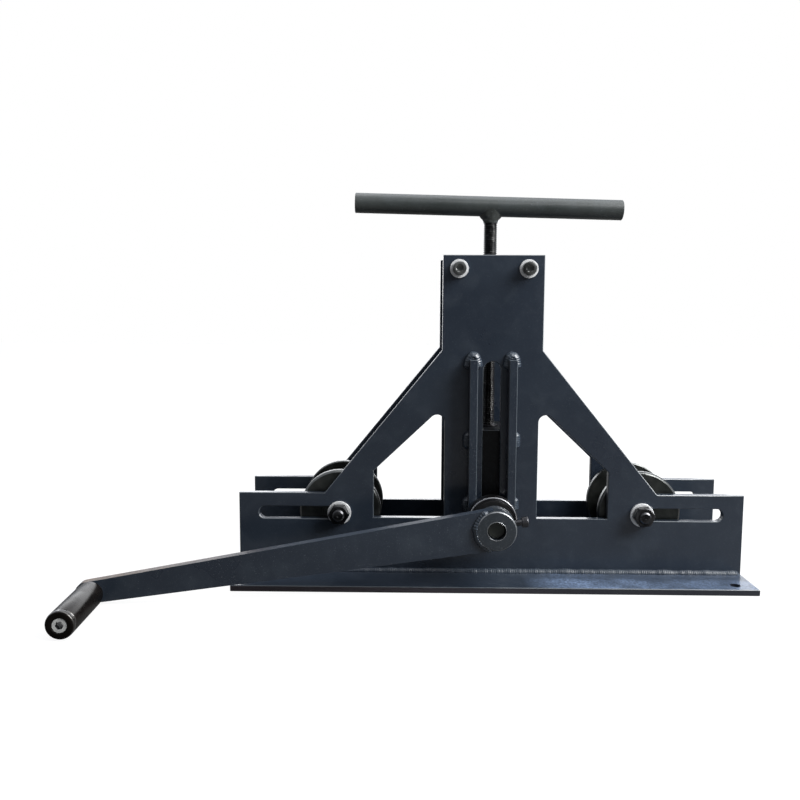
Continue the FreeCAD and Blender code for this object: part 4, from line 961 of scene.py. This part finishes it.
CRANK = 370.6 * MM
GRIP_HEIGHT = 12.1 * MM
LEAN = math.radians(4)
DROP = math.asin((AXIS_Z - GRIP_HEIGHT) / (CRANK * math.cos(LEAN)))
HUB_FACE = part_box("crank_hub")[0].y
HUB_RADIUS = 18.5 * MM
ARM_SEAT = HUB_FACE + 5 * MM
BORE_RIM = [(8.5, 0.4), (8.55, 0.0), (8.65, -0.12), (8.85, -0.12), (9.0, 0.0), (9.0, 0.4)]
HUB_WELD = {"Leg": 5.0 * MM, "Sunk": 1.0 * MM, "Ripple": 2.4 * MM, "Uneven": 1.3 * MM}
HUB_WELD_FROM = 105
HUB_WELD_SPAN = 150
HUB_WELD_STEPS = 60
SET_SCREW = {"head": 5 * MM, "tall": 6 * MM, "socket": 2.5 * MM, "deep": 3.5 * MM, "shank": 3 * MM,
             "knurls": 32}
SET_SCREW_SEAT = 25.5 * MM
SET_SCREW_LENGTH = 17 * MM

hub_paint = powder_coat("powder_coat_hub", (0.018, 0.024, 0.031), (0.032, 0.040, 0.049), 0.26, peel=0.4)
# Bright metal colour on the hub's chamfers and bore rim: painted highlight.
hub_rim_painted_highlight = metal("scraped_hub_edge", (0.34, 0.35, 0.36), (0.12, 0.13, 0.14), 0.24, metallic=0.6)
hub = dressed("crank_hub_coated", "crank_hub", [hub_paint, hub_rim_painted_highlight], sharp=30,
              choose=lambda normal, centre: 0.3 < abs(normal.y) < 0.95)
bore_rim = lathe("bore_rim", [(r * MM, d * MM) for r, d in BORE_RIM], (0, HUB_FACE, AXIS_Z), (0, 1, 0),
                 [hub_rim_painted_highlight])
finish_piece(joined("crank_hub_scraped", [hub, bore_rim], outward=False), "frame_paint", "drive", "crank_hub")


def arm_edge_painted_sheen():
    """The coat on the arm's up-facing edge, turning pale brownish towards the grip as painted sheen."""
    made = powder_coat("powder_coat_on_arm_edge", PAINT_COLOUR, PAINT_PALE, 0.50, peel=0.6, gloss=0.02)
    tree, shader, place, coat = opened(made)
    toward = spread(tree, split(tree, place)["X"], -200 * MM, -340 * MM, 0.0, 1.0)
    patch = spread(tree, noise(tree, place, 60.0, 4.0), 0.35, 0.6, 0.5, 1.0)
    # Painted sheen: the up-facing edge turns pale brownish towards the grip.
    coat = blend(tree, product(tree, toward, patch), coat, (0.20, 0.155, 0.125))
    tree.links.new(coat, shader.inputs["Base Color"])
    return made


dress("crank_arm_coated", "crank_arm", [paint, arm_edge_painted_sheen()], "frame_paint", "drive", arris=0.8 * MM,
      choose=lambda normal, centre: normal.z > 0.9)


def on_crank(x, y, z):
    """A place in the crank's own frame, arm towards -X, as it hangs at rest."""
    return Vector((x * math.cos(DROP) - z * math.sin(DROP), y,
                   AXIS_Z + z * math.cos(DROP) + x * math.sin(DROP)))


ring = []
for n in range(HUB_WELD_STEPS + 1):
    turn = math.radians(HUB_WELD_FROM + HUB_WELD_SPAN * n / HUB_WELD_STEPS)
    x = HUB_RADIUS * math.cos(turn)
    ring.append(on_crank(x, ARM_SEAT + x * math.tan(LEAN), HUB_RADIUS * math.sin(turn)))
bead = weld_bead("hub_bead", [ring], (0, -1, 0), weld_coat_pale_as_highlight, 21.0, HUB_WELD)
finish_piece(joined("crank_hub_bead", [bead]), "frame_paint", "drive", "crank_weld")

low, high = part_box("crank_set_screw")
seat = on_crank(SET_SCREW_SEAT, (low.y + high.y) / 2, 0)
way = on_crank(1, 0, 0) - on_crank(0, 0, 0)
set_screw = fixed("crank_set_screw_black", cap_screw_mesh("set_screw", SET_SCREW_LENGTH, SET_SCREW),
                  [(seat, way)], black_oxide)
finish_piece(set_screw, "black_oxide", "drive", "crank_set_screw")


# --------------------------------------
# Grip
# A smooth black moulded sleeve turns on a shouldered bolt with a bright socket head. A fine groove
# runs round the sleeve near its outer end.

GRIP_FOOT = on_crank(-CRANK * math.cos(LEAN), ARM_SEAT - CRANK * math.sin(LEAN), 0)
GRIP_WAY = (on_crank(math.sin(LEAN), -math.cos(LEAN), 0) - on_crank(0, 0, 0)).normalized()
SLEEVE = [(5.1, 1.6), (9.6, 1.6), (10.6, 2.2), (11.2, 3.6), (11.6, 6.0), (11.7, 8.6), (12.0, 9.6),
          (12.0, 75.6), (11.6, 76.0), (11.6, 76.4), (12.0, 76.8), (12.0, 78.6), (11.85, 79.8), (11.3, 80.8),
          (10.4, 81.4), (9.4, 81.5), (6.9, 81.5), (6.4, 81.1), (6.4, 74.9), (5.1, 74.9)]
POLISHED = range(7, 13)
SOCKET_RADIUS = 3.4 * MM
SOCKET_FLOOR = 74 * MM
SOCKET_MOUTH = 80.7 * MM


def glossy_plastic(name, colour, shine):
    """Moulded plastic with hair scratches, smeared by hands; shine is how well it is polished."""
    made, tree, shader, place = new_finish(name, Specular_IOR_Level=0.07 + 0.5 * shine,
                                           Coat_Weight=0.7 * shine, Coat_Roughness=0.06,
                                           Specular_Tint=(1.0, 0.95, 0.88, 1))
    smear = spread(tree, noise(tree, place, 60.0, 5.0, distortion=0.5), 0.4, 0.7, 0.0, 1.0)
    tree.links.new(blend(tree, smear, colour, (0.011, 0.009, 0.008)), shader.inputs["Base Color"])
    tree.links.new(spread(tree, smear, 0, 1, 0.24, 0.34), shader.inputs["Roughness"])
    add_bump(tree, shader, noise(tree, place, 160.0, 2.0), 0.15, 0.1 * MM)
    return made


def socket_walls_in_painted_shade(normal, centre):
    """Picks the walls of the hexagon in the grip bolt's head, which are painted black as the shade in the
    socket.
    """
    reach = centre - GRIP_FOOT
    depth = reach.dot(GRIP_WAY)
    on_wall = abs(normal.dot(GRIP_WAY)) < 0.5 and (reach - depth * GRIP_WAY).length < SOCKET_RADIUS
    return on_wall and SOCKET_FLOOR < depth < SOCKET_MOUTH


grip_black = glossy_plastic("moulded_black_plastic", (0.0045, 0.0038, 0.0034), 0.0)
grip_polished = glossy_plastic("polished_black_plastic", (0.0045, 0.0040, 0.0038), 1.0)
sleeve = lathe("grip_sleeve_moulded", [(r * MM, d * MM) for r, d in SLEEVE], GRIP_FOOT, GRIP_WAY,
               [grip_black, grip_polished], picks=[1 if n in POLISHED else 0 for n in range(len(SLEEVE))])
finish_piece(sleeve, "grip_plastic", "grip", "grip_sleeve")

zinc_grip = metal("bright_zinc_grip", (0.95, 0.96, 0.93), (0.70, 0.71, 0.69), 0.22, tuple(GRIP_FOOT),
                  rings=900.0, metallic=0.3)
# The socket's walls take black oxide as painted shade in the recess.
dress("grip_bolt_bright", "grip_bolt", [zinc_grip, black_oxide], "zinc_plate", "drive", arris=0.4 * MM,
      choose=socket_walls_in_painted_shade)
dress("grip_washer_bright", "grip_washer_ring", [zinc_grip], "zinc_plate", "drive", arris=0.3 * MM)


# --------------------------------------
# Floor, light and camera
# A pale floor in a white room. A square key lamp stands at the front right, large soft lamps hang
# above and behind, and a weak one fills the front. What shines mirrors a room that is bright behind.

ROOM_TINT = (0.93, 0.97, 1.06)
ROOM = 6.0
BRIGHT_SIDE = (0.45, 0.25, 0.86)
MIRRORED_SIDE = (0.35, 0.80, 0.49)

floor_finish, tree, shader, place = new_finish("pale_floor", Base_Color=(0.12, 0.12, 0.12, 1), Roughness=0.8,
                                               Emission_Color=(1, 1, 1, 1))
rays = add(tree, "ShaderNodeLightPath").outputs
glow = total(tree, product(tree, rays["Is Camera Ray"], 0.90), product(tree, rays["Is Glossy Ray"], 0.02))
tree.links.new(glow, shader.inputs["Emission Strength"])
floor_mesh = bpy.data.meshes.new("floor")
floor_mesh.from_pydata([(-ROOM, -ROOM, 0), (ROOM, -ROOM, 0), (ROOM, ROOM, 0), (-ROOM, ROOM, 0)], [],
                       [(0, 1, 2, 3)])
new_piece("floor", floor_mesh, [floor_finish])

world = bpy.data.worlds.new("white_room")
bpy.context.scene.world = world
world.use_nodes = True
tree = world.node_tree
back = tree.nodes["Background"]
way = add(tree, "ShaderNodeTexCoord").outputs["Generated"]
rays = add(tree, "ShaderNodeLightPath").outputs
soft = spread(tree, vectors(tree, "DOT_PRODUCT", way, BRIGHT_SIDE), -0.35, 0.9, 0.02, 0.20)
mirrored = spread(tree, vectors(tree, "DOT_PRODUCT", way, MIRRORED_SIDE), -0.75, 0.5, 0.10, 1.0)
level = soft
for ray, seen in (("Is Glossy Ray", mirrored), ("Is Camera Ray", 1.0)):
    level = add(tree, "ShaderNodeMix", {0: rays[ray], 2: level, 3: seen}, data_type="FLOAT").outputs[0]
tree.links.new(blend(tree, rays["Is Camera Ray"], ROOM_TINT, (1, 1, 1)), back.inputs["Color"])
tree.links.new(level, back.inputs["Strength"])


def lamp(name, place, target, size, power):
    """A rectangular area lamp that looks at the target."""
    light = bpy.data.lights.new(name, "AREA")
    light.shape = "RECTANGLE"
    light.size, light.size_y = size
    light.energy = power
    made = link_new(name, light)
    made.location = place
    made.rotation_euler = (Vector(target) - Vector(place)).to_track_quat("-Z", "Y").to_euler()


lamp("top_softbox", (0.1, 0.15, 1.7), (0, 0, 0.1), (1.8, 1.0), 10)
lamp("back_softbox", (-0.2, 2.1, 0.62), (0, 0, 0.15), (2.9, 0.55), 15)
lamp("right_key", (1.25, -0.58, 1.20), (0, 0, 0.18), (1.05, 1.05), 52)
lamp("front_fill", (0.25, -0.60, 0.90), (0, 0, 0.27), (0.6, 0.3), 0.9)

camera_data = bpy.data.cameras.new("camera")
camera_data.sensor_width = 36.0
camera_data.lens = 36.72
camera_data.clip_start = 0.01
camera = link_new("camera", camera_data)
camera.location = (-0.0775, -0.8398, 0.2637)
camera.rotation_euler = [math.radians(a) for a in (83.904, -0.234, 0.930)]
bpy.context.scene.camera = camera
bpy.context.scene.view_settings.view_transform = "Standard"
